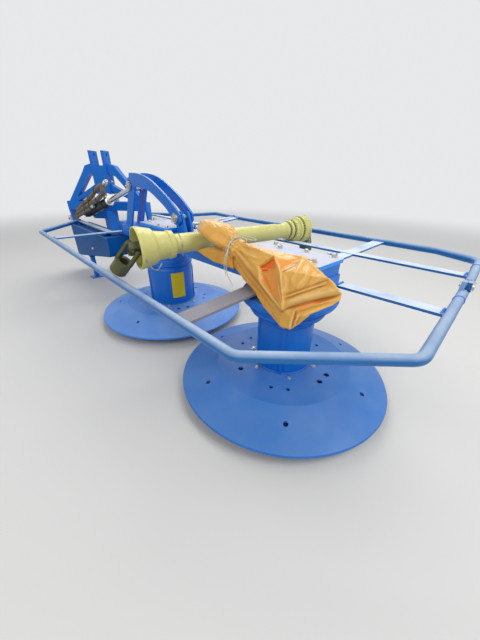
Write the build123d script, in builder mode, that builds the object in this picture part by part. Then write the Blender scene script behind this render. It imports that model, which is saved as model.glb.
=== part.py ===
from build123d import *
import os
from math import cos, radians, sin

# Millimetres. Drawn from a point on the ground midway between the drum axes,
# +X to the outer end, +Y the way it travels, +Z up.

pieces = {}


def keep(part, name):
    """Label a finished piece and list it for the files written at the end."""
    part.label = name
    pieces[name] = part


# drums and discs
DRUM_X = 418.0
DISC_R = 400.0
DISC_RIM_Z = 45.0
DISC_TOP_Z = 100.0
DISC_FLAT_R = 260.0
DISC_T = 5.0
HUB_R = 45.0
SHELL_T = 4.0
RUN = 0.05
TURN_GAP = 0.4

# cutter beam
BEAM_HALF = 65.0
BEAM_Z0 = 412.0
BEAM_Z1 = 472.0
BEAM_X0 = -870.0
BEAM_X1 = 560.0
BEAM_T = 6.0
LID_T = 12.0
LID_TOP = 520.0
LID_HALF = 80.0

# lift hinge, swing pin and headstock
HINGE_X = -1500.0
HINGE_Z = 285.0
SWING_X = -1500.0
SWING_Y = 100.0
SWING_DEG = 40.0
PIN_R = 25.0
BAR_Z0 = 495.0
BAR_Z1 = 560.0

# guard frame: a plane that rises forward
GUARD_Z = 423.3
GUARD_RISE = 0.0841
TUBE_R = 14.0
FLAT_T = 8.0
FOLD_Y = 270.0
FOLD_Z = 466.0
FOLD_PIN_R = 8.0

# lifting arch and cylinder
ARCH_Y = 34.0
ARCH_T = 10.0
LUG_PIN = (-239.0, 568.0)
EYE = (-705.0, 692.0)
ANCHOR = (-1570.0, -60.0, 470.0)
EYE_HALF = 14.0
EYE_PIN_R = 15.0
# the eye pin floats in an upright slot of the arch
FLOAT_UP = 11.4
FLOAT_DOWN = 6.7
FLOAT_TRAVEL = FLOAT_UP + FLOAT_DOWN
SLOT_R = EYE_PIN_R + 1.6


def guard_z(y):
    return GUARD_Z + GUARD_RISE * y


def wire_tube(points, radius, wall):
    """A bent tube along a polyline with rounded corners."""
    with BuildPart() as tube:
        with BuildLine() as path:
            FilletPolyline(*points, radius=45)
        start = path.line @ 0
        along = path.line % 0
        with BuildSketch(Plane(origin=start, z_dir=along)):
            Circle(radius)
            if wall < radius:
                Circle(radius - wall, mode=Mode.SUBTRACT)
        sweep(path=path.line)
    return tube.part


def flat_bar(start, end, width, thick=FLAT_T):
    """A flat bar lying in the guard plane between two points of its middle line."""
    (x0, y0), (x1, y1) = start, end
    z0 = guard_z(y0)
    z1 = guard_z(y1)
    along = Vector(x1 - x0, y1 - y0, z1 - z0)
    side = Vector(0, 0, 1).cross(along).normalized()
    with BuildPart() as bar:
        with BuildSketch(Plane(origin=(x0, y0, z0), x_dir=side, z_dir=along.normalized())):
            Rectangle(width, thick)
        extrude(amount=along.length)
    return bar.part


# discs: flat middle, sloping rim, three pairs of small and big holes, six single ones
DISCS = [
    # name, axis x, turn of its hole pattern
    ("outer", DRUM_X, 0.0),
    ("inner", -DRUM_X, -17.0),
]
for name, cx, turn in DISCS:
    with BuildPart() as disc:
        with BuildSketch(Plane.XZ):
            with BuildLine():
                Polyline(
                    (HUB_R, DISC_TOP_Z),
                    (DISC_FLAT_R, DISC_TOP_Z),
                    (DISC_R - 3, DISC_RIM_Z + 2),
                    (DISC_R, DISC_RIM_Z - 4),
                    (DISC_R - 6, DISC_RIM_Z - 4),
                    (DISC_FLAT_R - 2, DISC_TOP_Z - DISC_T),
                    (HUB_R, DISC_TOP_Z - DISC_T),
                    close=True,
                )
            make_face()
        revolve(axis=Axis.Z)
        with BuildSketch(Plane.XY.offset(DISC_RIM_Z)):
            for centre, spread, radius, hole in (
                (-174.0, 18.0, 186.0, 7.0),
                (3.0, 16.0, 184.0, 10.0),
            ):
                for k in range(3):
                    for side in (-0.5, 0.5):
                        with PolarLocations(radius, 1, start_angle=centre + turn + 120 * k + spread * side):
                            Circle(hole)
            with PolarLocations(314.0, 6, start_angle=11.0 + turn):
                Circle(8.0)
        extrude(amount=DISC_TOP_Z, mode=Mode.SUBTRACT)
    keep(disc.part.moved(Location((cx, 0, 0))), "disc_" + name)

# drum shells standing on the discs, thin walled, closed by a top plate
SHELLS = {
    # outer contour (radius, height) from the disc up to the beam
    "outer": [(104, 100), (104, 298), (112, 306), (132, 318), (138, 328), (138, 348), (152, 354), (166, 364),
              (169, 370), (169, 384), (164, 392)],
    "inner": [(120, 100), (123, 298), (119, 304), (119, 312), (126, 318), (127, 345), (120, 352), (120, 384),
              (116, 392)],
}
RIBS = {"outer": -55.0, "inner": 57.0}
for name, cx, turn in DISCS:
    contour = SHELLS[name]
    base = contour[0][0]
    with BuildPart() as shell:
        with BuildSketch(Plane.XZ):
            with BuildLine():
                inner = [(r - SHELL_T, z) for r, z in contour[:-1]]
                top = contour[-1]
                Polyline(
                    *contour,
                    (HUB_R, top[1]),
                    (HUB_R, top[1] - SHELL_T),
                    (top[0] - SHELL_T, top[1] - SHELL_T),
                    *reversed(inner),
                    close=True,
                )
            make_face()
        revolve(axis=Axis.Z)
        with BuildSketch(Plane.XY.offset(DISC_TOP_Z)):
            for k in range(2):
                with PolarLocations(base + 2, 1, start_angle=RIBS[name] + 180 * k):
                    Rectangle(8, 12)
        extrude(amount=190)
        with BuildSketch(Plane.XY.offset(DISC_TOP_Z)):
            Circle(base - 1)
            Circle(base - 30, mode=Mode.SUBTRACT)
        extrude(amount=6)
    keep(shell.part.moved(Location((cx, 0, 0))), "drum_" + name)

# three knives a disc, swung in under the rim, with their carrier blocks
SKID_TOP = 86.0
SPINDLE_FOOT = 12.0
KNIFE_PIN_R = 6.0
KNIFE_INSET = 50.0
KNIFE_Z = 38.0
KNIFE_T = 4.0
HOLDER_R = 12.0
KNIFE_R = DISC_R - KNIFE_INSET
# underside of the sloping rim over the outermost point of a knife holder
RIM_SLOPE = (DISC_TOP_Z - DISC_T - DISC_RIM_Z + 4) / (DISC_R - 4 - DISC_FLAT_R)
HOLDER_TOP = DISC_TOP_Z - DISC_T - RIM_SLOPE * (KNIFE_R + HOLDER_R - DISC_FLAT_R + 2) - 0.3
for name, cx, turn in DISCS:
    sense = 1.0 if name == "outer" else -1.0
    with BuildPart() as holder:
        for k in range(3):
            with BuildSketch(Plane.XY.offset(KNIFE_Z + KNIFE_T + 2)):
                with PolarLocations(KNIFE_R, 1, start_angle=40.0 + 120 * k):
                    Circle(HOLDER_R)
            extrude(amount=HOLDER_TOP - KNIFE_Z - KNIFE_T - 2)
            with BuildSketch(Plane.XY.offset(KNIFE_Z - 5)):
                with PolarLocations(KNIFE_R, 1, start_angle=40.0 + 120 * k):
                    Circle(KNIFE_PIN_R)
            extrude(amount=KNIFE_T + 8)
    with BuildPart() as knives:
        for k in range(3):
            with BuildSketch(Plane.XY.offset(KNIFE_Z)):
                with PolarLocations(KNIFE_R, 1, start_angle=40.0 + 120 * k):
                    with Locations((0, 36 * sense)):
                        Rectangle(40, 116)
                    Circle(KNIFE_PIN_R, mode=Mode.SUBTRACT)
            extrude(amount=KNIFE_T)
    keep(holder.part.moved(Location((cx, 0, 0))), "knife_pins_" + name)
    keep(knives.part.moved(Location((cx, 0, 0))), "knives_" + name)
    # freely turning skid saucer under the disc
    with BuildPart() as skid:
        with BuildSketch(Plane.XZ):
            with BuildLine():
                Polyline(
                    (0, 0), (170, 0), (230, 6), (290, 26), (288, 30), (229, 11), (169, 5), (HUB_R + 14, 5),
                    (HUB_R + 14, SKID_TOP), (HUB_R, SKID_TOP), (HUB_R, 8), (0, 8),
                    close=True,
                )
            make_face()
        revolve(axis=Axis.Z)
    keep(skid.part.moved(Location((cx, 0, 0))), "skid_" + name)
    # spindle: fixed column from the beam through the drum
    with BuildPart() as spindle:
        with BuildSketch(Plane.XY.offset(SPINDLE_FOOT)):
            Circle(HUB_R - TURN_GAP)
        extrude(amount=BEAM_Z0 - 12 - SPINDLE_FOOT)
        with BuildSketch(Plane.XY.offset(BEAM_Z0 - 12)):
            Circle(62)
        extrude(amount=12)
    keep(spindle.part.moved(Location((cx, 0, 0))), "spindle_" + name)

# main beam: box tube closed at both ends
with BuildPart() as beam:
    with BuildSketch(Plane.YZ.offset(BEAM_X0)):
        with Locations((0, (BEAM_Z0 + BEAM_Z1) / 2)):
            Rectangle(2 * BEAM_HALF, BEAM_Z1 - BEAM_Z0)
    extrude(amount=BEAM_X1 - BEAM_X0)
    with BuildSketch(Plane.YZ.offset(BEAM_X0 + 8)):
        with Locations((0, (BEAM_Z0 + BEAM_Z1) / 2)):
            Rectangle(2 * BEAM_HALF - 2 * BEAM_T, BEAM_Z1 - BEAM_Z0 - 2 * BEAM_T)
    extrude(amount=BEAM_X1 - BEAM_X0 - 16, mode=Mode.SUBTRACT)
keep(beam.part, "main_beam")

# gear housings on the beam and their bolted lids
GEAR_BOXES = [
    # x from, x to
    (262.0, 560.0),
    (-566.0, -268.0),
]
with BuildPart() as housings:
    for x0, x1 in GEAR_BOXES:
        with BuildSketch(Plane.XY.offset(BEAM_Z1)):
            with Locations(((x0 + x1) / 2, 0)):
                RectangleRounded(x1 - x0 - 8, 2 * LID_HALF - 14, 16)
        extrude(amount=LID_TOP - LID_T - BEAM_Z1)
keep(housings.part, "gear_housings")
with BuildPart() as lids:
    for x0, x1 in GEAR_BOXES:
        with BuildSketch(Plane.XY.offset(LID_TOP - LID_T)):
            with Locations(((x0 + x1) / 2, 0)):
                RectangleRounded(x1 - x0, 2 * LID_HALF, 14)
        extrude(amount=LID_T)
keep(lids.part, "gear_lids")

# bevel head at the inner end of the beam
HEAD_X0 = -1050.0
with BuildPart() as head:
    with BuildSketch(Plane.XZ.offset(-50.0)):
        with BuildLine():
            Polyline(
                (BEAM_X0, BEAM_Z1), (BEAM_X0, 396), (BEAM_X0 - 30, 290), (HEAD_X0 + 20, 262),
                (HEAD_X0, 290), (HEAD_X0, BEAM_Z1 - 60), (HEAD_X0 + 40, BEAM_Z1),
                close=True,
            )
        make_face()
    extrude(amount=75)
keep(head.part, "bevel_head")

# belt housing: sheet metal tub from the drive pulley to the bevel head
HOUSING_Y0 = -165.0
HOUSING_Y1 = -27.0
HOUSING_TOP = 393.0
OUTLINE = [(-886, HOUSING_TOP), (-886, 300), (-905, 268), (-1690, 134), (-1722, 150), (-1722, 365),
           (-1700, HOUSING_TOP)]
LEG_X = -1413.0
LEG_Y = -142.0
SHAFT_R = 20.0
with BuildPart() as housing:
    with BuildSketch(Plane.XZ.offset(-HOUSING_Y1)):
        with BuildLine():
            Polyline(*OUTLINE, close=True)
        make_face()
    extrude(amount=HOUSING_Y1 - HOUSING_Y0)
    with BuildSketch(Plane.XZ.offset(-HOUSING_Y1 + 4)):
        with BuildLine():
            Polyline(*OUTLINE, close=True)
        make_face()
        offset(amount=-4, mode=Mode.REPLACE)
    extrude(amount=HOUSING_Y1 - HOUSING_Y0 - 8, mode=Mode.SUBTRACT)
    with BuildSketch(Plane.XY.offset(170.0)):
        with Locations((LEG_X, LEG_Y)):
            Rectangle(38, 38)
    extrude(amount=HOUSING_TOP - 170)
    with BuildSketch(Plane.XY.offset(HOUSING_TOP)):
        with Locations((-1560, -113), (-1010, -113)):
            Rectangle(40, 30)
    extrude(amount=guard_z(-113) - FLAT_T / 2 - HOUSING_TOP - 0.4)
    with BuildSketch(Plane.XY.offset(100.0)):
        with Locations((LEG_X, LEG_Y)):
            Rectangle(31, 31)
    extrude(amount=286, mode=Mode.SUBTRACT)
    with BuildSketch(Plane.XZ.offset(-HOUSING_Y1)):
        with Locations((HINGE_X, HINGE_Z)):
            Circle(SHAFT_R + TURN_GAP)
    extrude(amount=4, mode=Mode.SUBTRACT)
keep(housing.part, "belt_housing")

# parking leg with foot plate
with BuildPart() as leg:
    with BuildSketch(Plane.XY):
        with Locations((LEG_X, LEG_Y)):
            Rectangle(70, 90)
    extrude(amount=6)
    with BuildSketch(Plane.XY.offset(6)):
        with Locations((LEG_X, LEG_Y)):
            Rectangle(30, 30)
    extrude(amount=224)
keep(leg.part, "parking_leg")

# carrying arm from the bevel head back to the hinge sleeve
with BuildPart() as arm:
    with BuildSketch(Plane.YZ.offset(HINGE_X + 30)):
        with Locations((10, 315)):
            Rectangle(70, 60)
    extrude(amount=HEAD_X0 - HINGE_X - 30)
    with BuildSketch(Plane.XZ.offset(-45.0)):
        with Locations((HINGE_X, HINGE_Z)):
            Circle(46)
    extrude(amount=70)
    with BuildSketch(Plane.XZ.offset(-46.0)):
        with Locations((HINGE_X, HINGE_Z)):
            Circle(30)
    extrude(amount=72, mode=Mode.SUBTRACT)
keep(arm.part, "carrying_arm")

STUB_R = 17.5
STUB_FROM = 200.0
STUB_LENGTH = 75.0
with BuildPart() as hinge_tube:
    with BuildSketch(Plane.XZ.offset(-186.0)):
        with Locations((HINGE_X, HINGE_Z)):
            Circle(30)
            Circle(22, mode=Mode.SUBTRACT)
    extrude(amount=211)
    with BuildSketch(Plane.XZ.offset(-196.0)):
        with Locations((HINGE_X, HINGE_Z)):
            Circle(42)
            Circle(SHAFT_R + TURN_GAP, mode=Mode.SUBTRACT)
    extrude(amount=10)
keep(hinge_tube.part, "hinge_tube")

# input shaft with its belt pulley
with BuildPart() as shaft:
    with BuildSketch(Plane.XZ.offset(-STUB_FROM)):
        with Locations((HINGE_X, HINGE_Z)):
            Circle(SHAFT_R)
    extrude(amount=STUB_FROM + 125)
    with BuildSketch(Plane.XZ.offset(-STUB_FROM - STUB_LENGTH)):
        with Locations((HINGE_X, HINGE_Z)):
            Circle(STUB_R)
    extrude(amount=STUB_LENGTH)
    with BuildSketch(Plane.XZ.offset(50.0)):
        with Locations((HINGE_X, HINGE_Z)):
            Circle(95)
    extrude(amount=60)
keep(shaft.part, "input_shaft")

# swing head: vertical pin, block, hinge sleeve and the arm of the cylinder anchor
with BuildPart() as swing:
    with BuildSketch(Plane.XZ.offset(-180.0)):
        with Locations((HINGE_X, HINGE_Z)):
            Circle(46)
    extrude(amount=130)
    with BuildSketch(Plane.XY.offset(HINGE_Z)):
        with Locations((SWING_X, SWING_Y)):
            Rectangle(84, 84)
    extrude(amount=BAR_Z0 - 2 - HINGE_Z)
    with BuildSketch(Plane.XY.offset(BAR_Z0 - 2)):
        with Locations((SWING_X, SWING_Y)):
            Circle(PIN_R)
    extrude(amount=BAR_Z1 - BAR_Z0 + 24)
    with BuildSketch(Plane.XY.offset(BAR_Z0 - 60)):
        with BuildLine():
            Polyline(
                (ANCHOR[0] - 26, -12), (ANCHOR[0] + 26, -12), (SWING_X + 42, SWING_Y - 42),
                (SWING_X + 42, SWING_Y + 42), (SWING_X - 42, SWING_Y + 42), (ANCHOR[0] - 26, 30),
                close=True,
            )
        make_face()
    extrude(amount=53)
    with BuildSketch(Plane.XZ.offset(10.0)):
        with Locations((ANCHOR[0], ANCHOR[2])):
            Circle(20)
    extrude(amount=-ANCHOR[1] - EYE_HALF - 1 - 10)
    with BuildSketch(Plane.XZ.offset(20.0)):
        with Locations((ANCHOR[0], ANCHOR[2])):
            Circle(12)
    extrude(amount=-ANCHOR[1] + EYE_HALF + 12 - 20)
    with BuildSketch(Plane.XZ.offset(-SWING_Y - 100)):
        with Locations((HINGE_X, HINGE_Z)):
            Circle(30 + RUN)
    extrude(amount=200, mode=Mode.SUBTRACT)
keep(swing.part, "swing_head")
with BuildPart() as nut:
    with BuildSketch(Plane.XY.offset(BAR_Z1 + 2)):
        with Locations((SWING_X, SWING_Y)):
            Circle(40)
            Circle(PIN_R, mode=Mode.SUBTRACT)
    extrude(amount=12)
keep(nut.part, "swing_collar")

# headstock: cross tube, mast and drop plates, square to the tractor
TURN = radians(SWING_DEG)
ACROSS = Vector(cos(TURN), sin(TURN), 0)
BACK = Vector(sin(TURN), -cos(TURN), 0)
MAST = Plane(origin=(SWING_X, SWING_Y, 0), x_dir=ACROSS, z_dir=BACK)
SIDE = Plane(origin=(SWING_X, SWING_Y, 0), x_dir=-BACK, z_dir=ACROSS)
BAR_HALF = 319.0
PLATE_T = 16.0
HITCH_Z = 420.0
TOP_Z = 880.0
TOP_PIN_R = 9.5
CHEEK_IN = 40.0
CHEEK_T = 20.0
CHEEK_Z0 = BAR_Z1 + 55
with BuildPart() as headstock:
    with BuildSketch(SIDE.offset(-BAR_HALF)):
        with Locations((0, (BAR_Z0 + BAR_Z1) / 2)):
            Rectangle(80, BAR_Z1 - BAR_Z0)
    extrude(amount=2 * BAR_HALF)
    with BuildSketch(SIDE.offset(-BAR_HALF + 8)):
        with Locations((0, (BAR_Z0 + BAR_Z1) / 2)):
            Rectangle(68, BAR_Z1 - BAR_Z0 - 12)
    extrude(amount=2 * BAR_HALF - 16, mode=Mode.SUBTRACT)
    with BuildSketch(MAST.offset(-28)):
        for side in (-1, 1):
            with BuildLine():
                Polyline(
                    (side * 318, BAR_Z1 - 3), (side * 265, BAR_Z1 - 3), (side * 116, TOP_Z - 145),
                    (side * 56, TOP_Z - 115), (side * 56, TOP_Z - 55), (side * 118, TOP_Z - 71),
                    (side * 152, TOP_Z - 119),
                    close=True,
                )
            make_face()
            with BuildLine():
                Polyline(
                    (side * 300, BAR_Z1 - 3), (side * 250, BAR_Z1 - 3), (side * 56, CHEEK_Z0 + 24),
                    (side * 56, CHEEK_Z0 + 72),
                    close=True,
                )
            make_face()
    extrude(amount=56)
    with BuildSketch(MAST.offset(-42)):
        for side in (-1, 1):
            with Locations((side * (CHEEK_IN + CHEEK_T / 2), (CHEEK_Z0 + TOP_Z + 25) / 2)):
                Rectangle(CHEEK_T, TOP_Z + 25 - CHEEK_Z0)
        with Locations((0, (CHEEK_Z0 + TOP_Z - 65) / 2)):
            Rectangle(110, TOP_Z - 75 - CHEEK_Z0)
    extrude(amount=84)
    with BuildSketch(Plane.XY.offset(BAR_Z0)):
        with Locations((SWING_X, SWING_Y)):
            Circle(38)
    extrude(amount=BAR_Z1 - BAR_Z0)
    with BuildSketch(Plane.XY.offset(BAR_Z0 - 1)):
        with Locations((SWING_X, SWING_Y)):
            Circle(PIN_R + RUN)
    extrude(amount=BAR_Z1 - BAR_Z0 + 2, mode=Mode.SUBTRACT)
    with BuildSketch(SIDE.offset(-100)):
        with Locations((0, TOP_Z)):
            Circle(TOP_PIN_R)
    extrude(amount=200, mode=Mode.SUBTRACT)
keep(headstock.part, "headstock_frame")
with BuildPart() as drops:
    for side in (-1, 1):
        with BuildSketch(SIDE.offset(side * (BAR_HALF + PLATE_T / 2) - PLATE_T / 2)):
            with BuildLine():
                Polyline((-40, BAR_Z1 - 2), (-40, BAR_Z0), (-24, HITCH_Z - 28), (24, HITCH_Z - 28),
                         (40, BAR_Z0), (40, BAR_Z1 - 2), close=True)
            make_face()
        extrude(amount=PLATE_T)
keep(drops.part, "hitch_plates")

PIN_OUT = 52.0
with BuildPart() as hitch:
    for side in (-1, 1):
        with BuildSketch(SIDE.offset(side * (BAR_HALF + PLATE_T + PIN_OUT / 2) - PIN_OUT / 2)):
            with Locations((0, HITCH_Z)):
                Circle(11)
        extrude(amount=PIN_OUT)
keep(hitch.part, "hitch_pins")
# lifting arch: two curved plates with slanted legs, standing on the beam
with BuildPart() as arch:
    for y in (-ARCH_Y, ARCH_Y):
        with BuildSketch(Plane.XZ.offset(-y - ARCH_T / 2)):
            with BuildLine():
                outer = Spline((-690, 755), (-570, 750), (-466, 728), (-374, 690), (-290, 646), (-207, 585))
                tip = Polyline(outer @ 1, (-204, 556), (-230, 533), (-262, 541))
                lower = Spline(tip @ 1, (-319, 600), (-389, 636), (-463, 668), (-540, 683))
                Polyline(lower @ 1, (-640, 690), (-770, BEAM_Z1), (-850, BEAM_Z1), (-716, 700), outer @ 0)
            make_face()
            with Locations((EYE[0], EYE[1] + (FLOAT_UP - FLOAT_DOWN) / 2)):
                SlotCenterToCenter(FLOAT_TRAVEL, 2 * EYE_PIN_R + 30, rotation=90)
                SlotCenterToCenter(FLOAT_TRAVEL, 2 * SLOT_R, rotation=90, mode=Mode.SUBTRACT)
            with Locations(LUG_PIN):
                Circle(15, mode=Mode.SUBTRACT)
        extrude(amount=ARCH_T)
keep(arch.part, "lift_arch")

with BuildPart() as lugs:
    for y in (-18.0, 18.0):
        with BuildSketch(Plane.XZ.offset(-y - 6)):
            with BuildLine():
                Polyline(
                    (-265, BEAM_Z1), (-180, BEAM_Z1), (-206, 575), (-220, 596), (-258, 596), (-265, 585),
                    close=True,
                )
            make_face()
            with Locations(LUG_PIN):
                Circle(15, mode=Mode.SUBTRACT)
        extrude(amount=12)
keep(lugs.part, "arch_lugs")

PINS = [
    # name, (x, z), from y, to y, head radius, gap under the head
    ("arch_pin", LUG_PIN, -52.0, 48.0, 22.0, 0.0),
    ("eye_pin", EYE, -52.0, 52.0, 24.0, 1.5),
]
for name, (px, pz), y0, y1, head_r, gap in PINS:
    with BuildPart() as pin:
        with BuildSketch(Plane.XZ.offset(-y1)):
            with Locations((px, pz)):
                Circle(15)
        extrude(amount=y1 - y0)
        with BuildSketch(Plane.XZ.offset(ARCH_Y + ARCH_T / 2 + gap)):
            with Locations((px, pz)):
                Circle(head_r)
        extrude(amount=9)
    keep(pin.part, name)

# lift cylinder along the line from its anchor to the eye pin
START = Vector(*ANCHOR)
TOP = Vector(EYE[0], 0, EYE[1])
REACH = TOP - START
AXIS = REACH.normalized()
UPRIGHT = AXIS.cross(Vector(0, 1, 0)).normalized()
BARREL = Plane(origin=START, x_dir=UPRIGHT, z_dir=AXIS)
TIP = Plane(origin=TOP, x_dir=UPRIGHT, z_dir=AXIS)
with BuildPart() as barrel:
    with BuildSketch(BARREL.offset(34)):
        Circle(30)
    extrude(amount=440)
    with BuildSketch(BARREL.offset(54)):
        Circle(25)
    extrude(amount=408, mode=Mode.SUBTRACT)
    with BuildSketch(BARREL.offset(440)):
        Circle(15.3)
    extrude(amount=100, mode=Mode.SUBTRACT)
    with BuildSketch(Plane.XZ.offset(-START.Y - 14)):
        with Locations((START.X, START.Z)):
            Circle(24)
    extrude(amount=28)
    with BuildSketch(BARREL.offset(8)):
        Rectangle(40, 24)
    extrude(amount=34)
    with BuildSketch(Plane.XZ.offset(-START.Y - 20)):
        with Locations((START.X, START.Z)):
            Circle(12 + RUN)
    extrude(amount=40, mode=Mode.SUBTRACT)
keep(barrel.part, "cylinder_barrel")

with BuildPart() as rod:
    with BuildSketch(TIP.offset(-22)):
        Circle(15)
    extrude(amount=-490)
    with BuildSketch(TIP.offset(-500)):
        Circle(24.5)
    extrude(amount=-30)
    with BuildSketch(Plane.XZ.offset(-12)):
        with Locations((TOP.X, TOP.Z)):
            Circle(27)
    extrude(amount=24)
    with BuildSketch(Plane.XZ.offset(-14)):
        with Locations((TOP.X, TOP.Z)):
            Circle(EYE_PIN_R)
    extrude(amount=28, mode=Mode.SUBTRACT)
keep(rod.part, "cylinder_rod")

# guard frame, rear part that stays on the beam
REAR_PATH = [(-1644, -107), (-1417, -424), (575, -407), (868, -150), (856, 250)]
FRONT_PATH = [(856, 290), (838, 596), (690, 650), (-600, 684)]
SIDE_PATH = [(-640, 690), (-884, 712), (-1030, 545), (-1365, 393)]
EAR = 12.0
FOLD_GAP = 20.0
FOLDS = [
    # x of the lap between the fixed and the folding ear
    856.0,
    415.0,
    -585.0,
]
# flat bars: from, to, width
REAR_BARS = [
    ((353, -394), (370, -60), 66),
    ((530, 82), (853, 92), 46),
    ((-1109, -412), (-905, -20), 50),
    ((-1632, -113), (-940, -113), 40),
    ((-735, 60), (-634, 680), 44),
    ((-1348, 388), (-666, 385), 40),
    ((404, 60), (415, FOLD_Y - FOLD_GAP), 50),
    ((-585, 60), (-585, FOLD_Y - FOLD_GAP), 50),
]
FRONT_BARS = [
    ((415, FOLD_Y + FOLD_GAP), (452, 648), 50),
    ((-585, FOLD_Y + FOLD_GAP), (-585, 676), 44),
    ((-585, 395), (838, 412), 46),
]


def ears(side, places):
    """Upright ears of the fold hinges: side -1 on the fixed part, +1 on the folding part."""
    with BuildPart() as plates:
        for x in places:
            with BuildSketch(Plane.YZ.offset(x + (0.5 if side > 0 else -0.5 - EAR))):
                with BuildLine():
                    near = FOLD_Y - side * 12
                    far = FOLD_Y + side * (FOLD_GAP + 18)
                    low = GUARD_Z + GUARD_RISE * FOLD_Y
                    Polyline((near, FOLD_Z - 10), (near, FOLD_Z + 12), (FOLD_Y + side * 16, FOLD_Z + 12),
                             (far, low + 4), (far, low - 4), (FOLD_Y + side * (FOLD_GAP - 2), low - 4),
                             (FOLD_Y + side * (FOLD_GAP - 2), FOLD_Z - 12), close=True)
                make_face()
                with Locations((FOLD_Y, FOLD_Z)):
                    Circle(FOLD_PIN_R + (RUN if side < 0 else 0), mode=Mode.SUBTRACT)
            extrude(amount=EAR)
    return plates.part


def along_guard(points):
    return [(x, y, guard_z(y)) for x, y in points]


GUARDS = [
    # name, tube path, flat bars, tubes the bars are cut to, side of the fold's ears
    ("guard_rear", REAR_PATH, REAR_BARS, (REAR_PATH, SIDE_PATH), -1),
    ("guard_front", FRONT_PATH, FRONT_BARS, (FRONT_PATH,), 1),
    ("guard_side", SIDE_PATH, [], (), 0),
]
for name, route, bars, carriers, side in GUARDS:
    with BuildPart() as guard:
        add(wire_tube(along_guard(route), TUBE_R, 3.0))
        if side:
            add(ears(side, FOLDS[:1]))
    keep(guard.part, name + "_tube")
    if bars:
        with BuildPart() as cross:
            for start, end, width in bars:
                add(flat_bar(start, end, width))
            add(ears(side, FOLDS[1:]))
            with BuildSketch(Plane.YZ.offset(BEAM_X0)):
                with Locations((0, (BEAM_Z0 + BEAM_Z1) / 2)):
                    Rectangle(2 * BEAM_HALF, BEAM_Z1 - BEAM_Z0)
            extrude(amount=BEAM_X1 - BEAM_X0, mode=Mode.SUBTRACT)
            add(head.part, mode=Mode.SUBTRACT)
            for carrier in carriers:
                add(wire_tube(along_guard(carrier), TUBE_R, TUBE_R), mode=Mode.SUBTRACT)
        keep(cross.part, name + "_bars")
with BuildPart() as fold_pins:
    for x in FOLDS:
        with BuildSketch(Plane.YZ.offset(x - EAR - 6)):
            with Locations((FOLD_Y, FOLD_Z)):
                Circle(FOLD_PIN_R)
        extrude(amount=2 * EAR + 7)
        with BuildSketch(Plane.YZ.offset(x + EAR + 1)):
            with Locations((FOLD_Y, FOLD_Z)):
                Circle(13)
        extrude(amount=6)
keep(fold_pins.part, "fold_pins")

# drive shaft lying across the beam and the front guard: guard tubes, cones, joints at both ends
SHAFT_A = Vector(-25, -339.5, 508)
SHAFT_B = Vector(115, 492, 512)
SHAFT_DIR = (SHAFT_B - SHAFT_A).normalized()
LAY = Plane(origin=SHAFT_A, z_dir=SHAFT_DIR)


def turned(points):
    """A ring turned about the drive shaft's axis from (distance along, radius) points."""
    with BuildPart() as ring:
        with BuildSketch(Plane.XZ):
            with BuildLine():
                Polyline(*[(r, s) for s, r in points], close=True)
            make_face()
        revolve(axis=Axis.Z)
    return ring.part.moved(LAY.location)


# universal joints: cross pins and the free yoke that slips on a splined stub
YOKE_BORE = 17.5
CROSS_R = 7.0
ARM_MID = 25.0
ARM_T = 10.0


def yoke_frame(centre, along, trunnion):
    """Frame of a yoke: z along its hub, x along the pin it turns on."""
    return Plane(origin=centre, x_dir=trunnion, z_dir=along)


def yoke(frame, hub_from, hub_to, hub_r, bore_r):
    """Fork with two arms round the cross and a hub, bored where bore_r is given."""
    across = Plane(origin=frame.origin, x_dir=frame.z_dir, z_dir=frame.x_dir)
    with BuildPart() as fork:
        with BuildSketch(frame.offset(hub_from)):
            Circle(hub_r)
        extrude(amount=hub_to - hub_from)
        for side in (-1, 1):
            with BuildSketch(across.offset(side * ARM_MID - ARM_T / 2)):
                with BuildLine():
                    Polyline((-15, -9), (-15, 9), (-8, 13), (8, 13), (hub_from + 8, 16), (hub_from + 8, -16),
                             (8, -13), (-8, -13), close=True)
                make_face()
            extrude(amount=ARM_T)
        if bore_r:
            with BuildSketch(frame.offset(hub_from - 10)):
                Circle(bore_r)
            extrude(amount=hub_to - hub_from + 20, mode=Mode.SUBTRACT)
        with BuildSketch(across.offset(-60)):
            Circle(CROSS_R + RUN)
        extrude(amount=120, mode=Mode.SUBTRACT)
    return fork.part


def cross_pins(centre, first, second):
    """Spider with four trunnions on two crossing lines."""
    with BuildPart() as spider:
        with BuildSketch(Plane(origin=centre, z_dir=first).offset(-30)):
            Circle(CROSS_R)
        extrude(amount=60)
        with BuildSketch(Plane(origin=centre, z_dir=second).offset(-30)):
            Circle(CROSS_R)
        extrude(amount=60)
        with BuildSketch(Plane(origin=centre, z_dir=first).offset(-13)):
            Circle(12)
        extrude(amount=26)
    return spider.part


END = (SHAFT_B - SHAFT_A).length
MOUTH = 12.0
JOINTS = {
    # centre, way out along the shaft, way the free yoke points, line of its pin
    "a": (
        SHAFT_A - SHAFT_DIR * MOUTH, SHAFT_DIR * -1,
        Vector(-0.575, -0.36, -0.735), Vector(0.62, 0.43, -0.66),
    ),
    "b": (
        SHAFT_B + SHAFT_DIR * MOUTH, SHAFT_DIR,
        Vector(0.043, 0.255, -0.966), Vector(0.986, -0.166, 0),
    ),
}
HUB_FROM = 66.0
HUB_TO = 118.0
inner_yokes = {}
for name, (centre, out, points, line) in JOINTS.items():
    points = points.normalized()
    line = (line - points * line.dot(points)).normalized()
    inner_line = line.cross(out).normalized()
    free = yoke(yoke_frame(centre, points, line), HUB_FROM, HUB_TO, 32, YOKE_BORE)
    keep(free, "pto_yoke_" + name)
    spider = cross_pins(centre, line, inner_line)
    keep(spider, "pto_cross_" + name)
    inner_yokes[name] = yoke(yoke_frame(centre, out * -1, inner_line), 48, 74, 27, 0)

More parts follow.
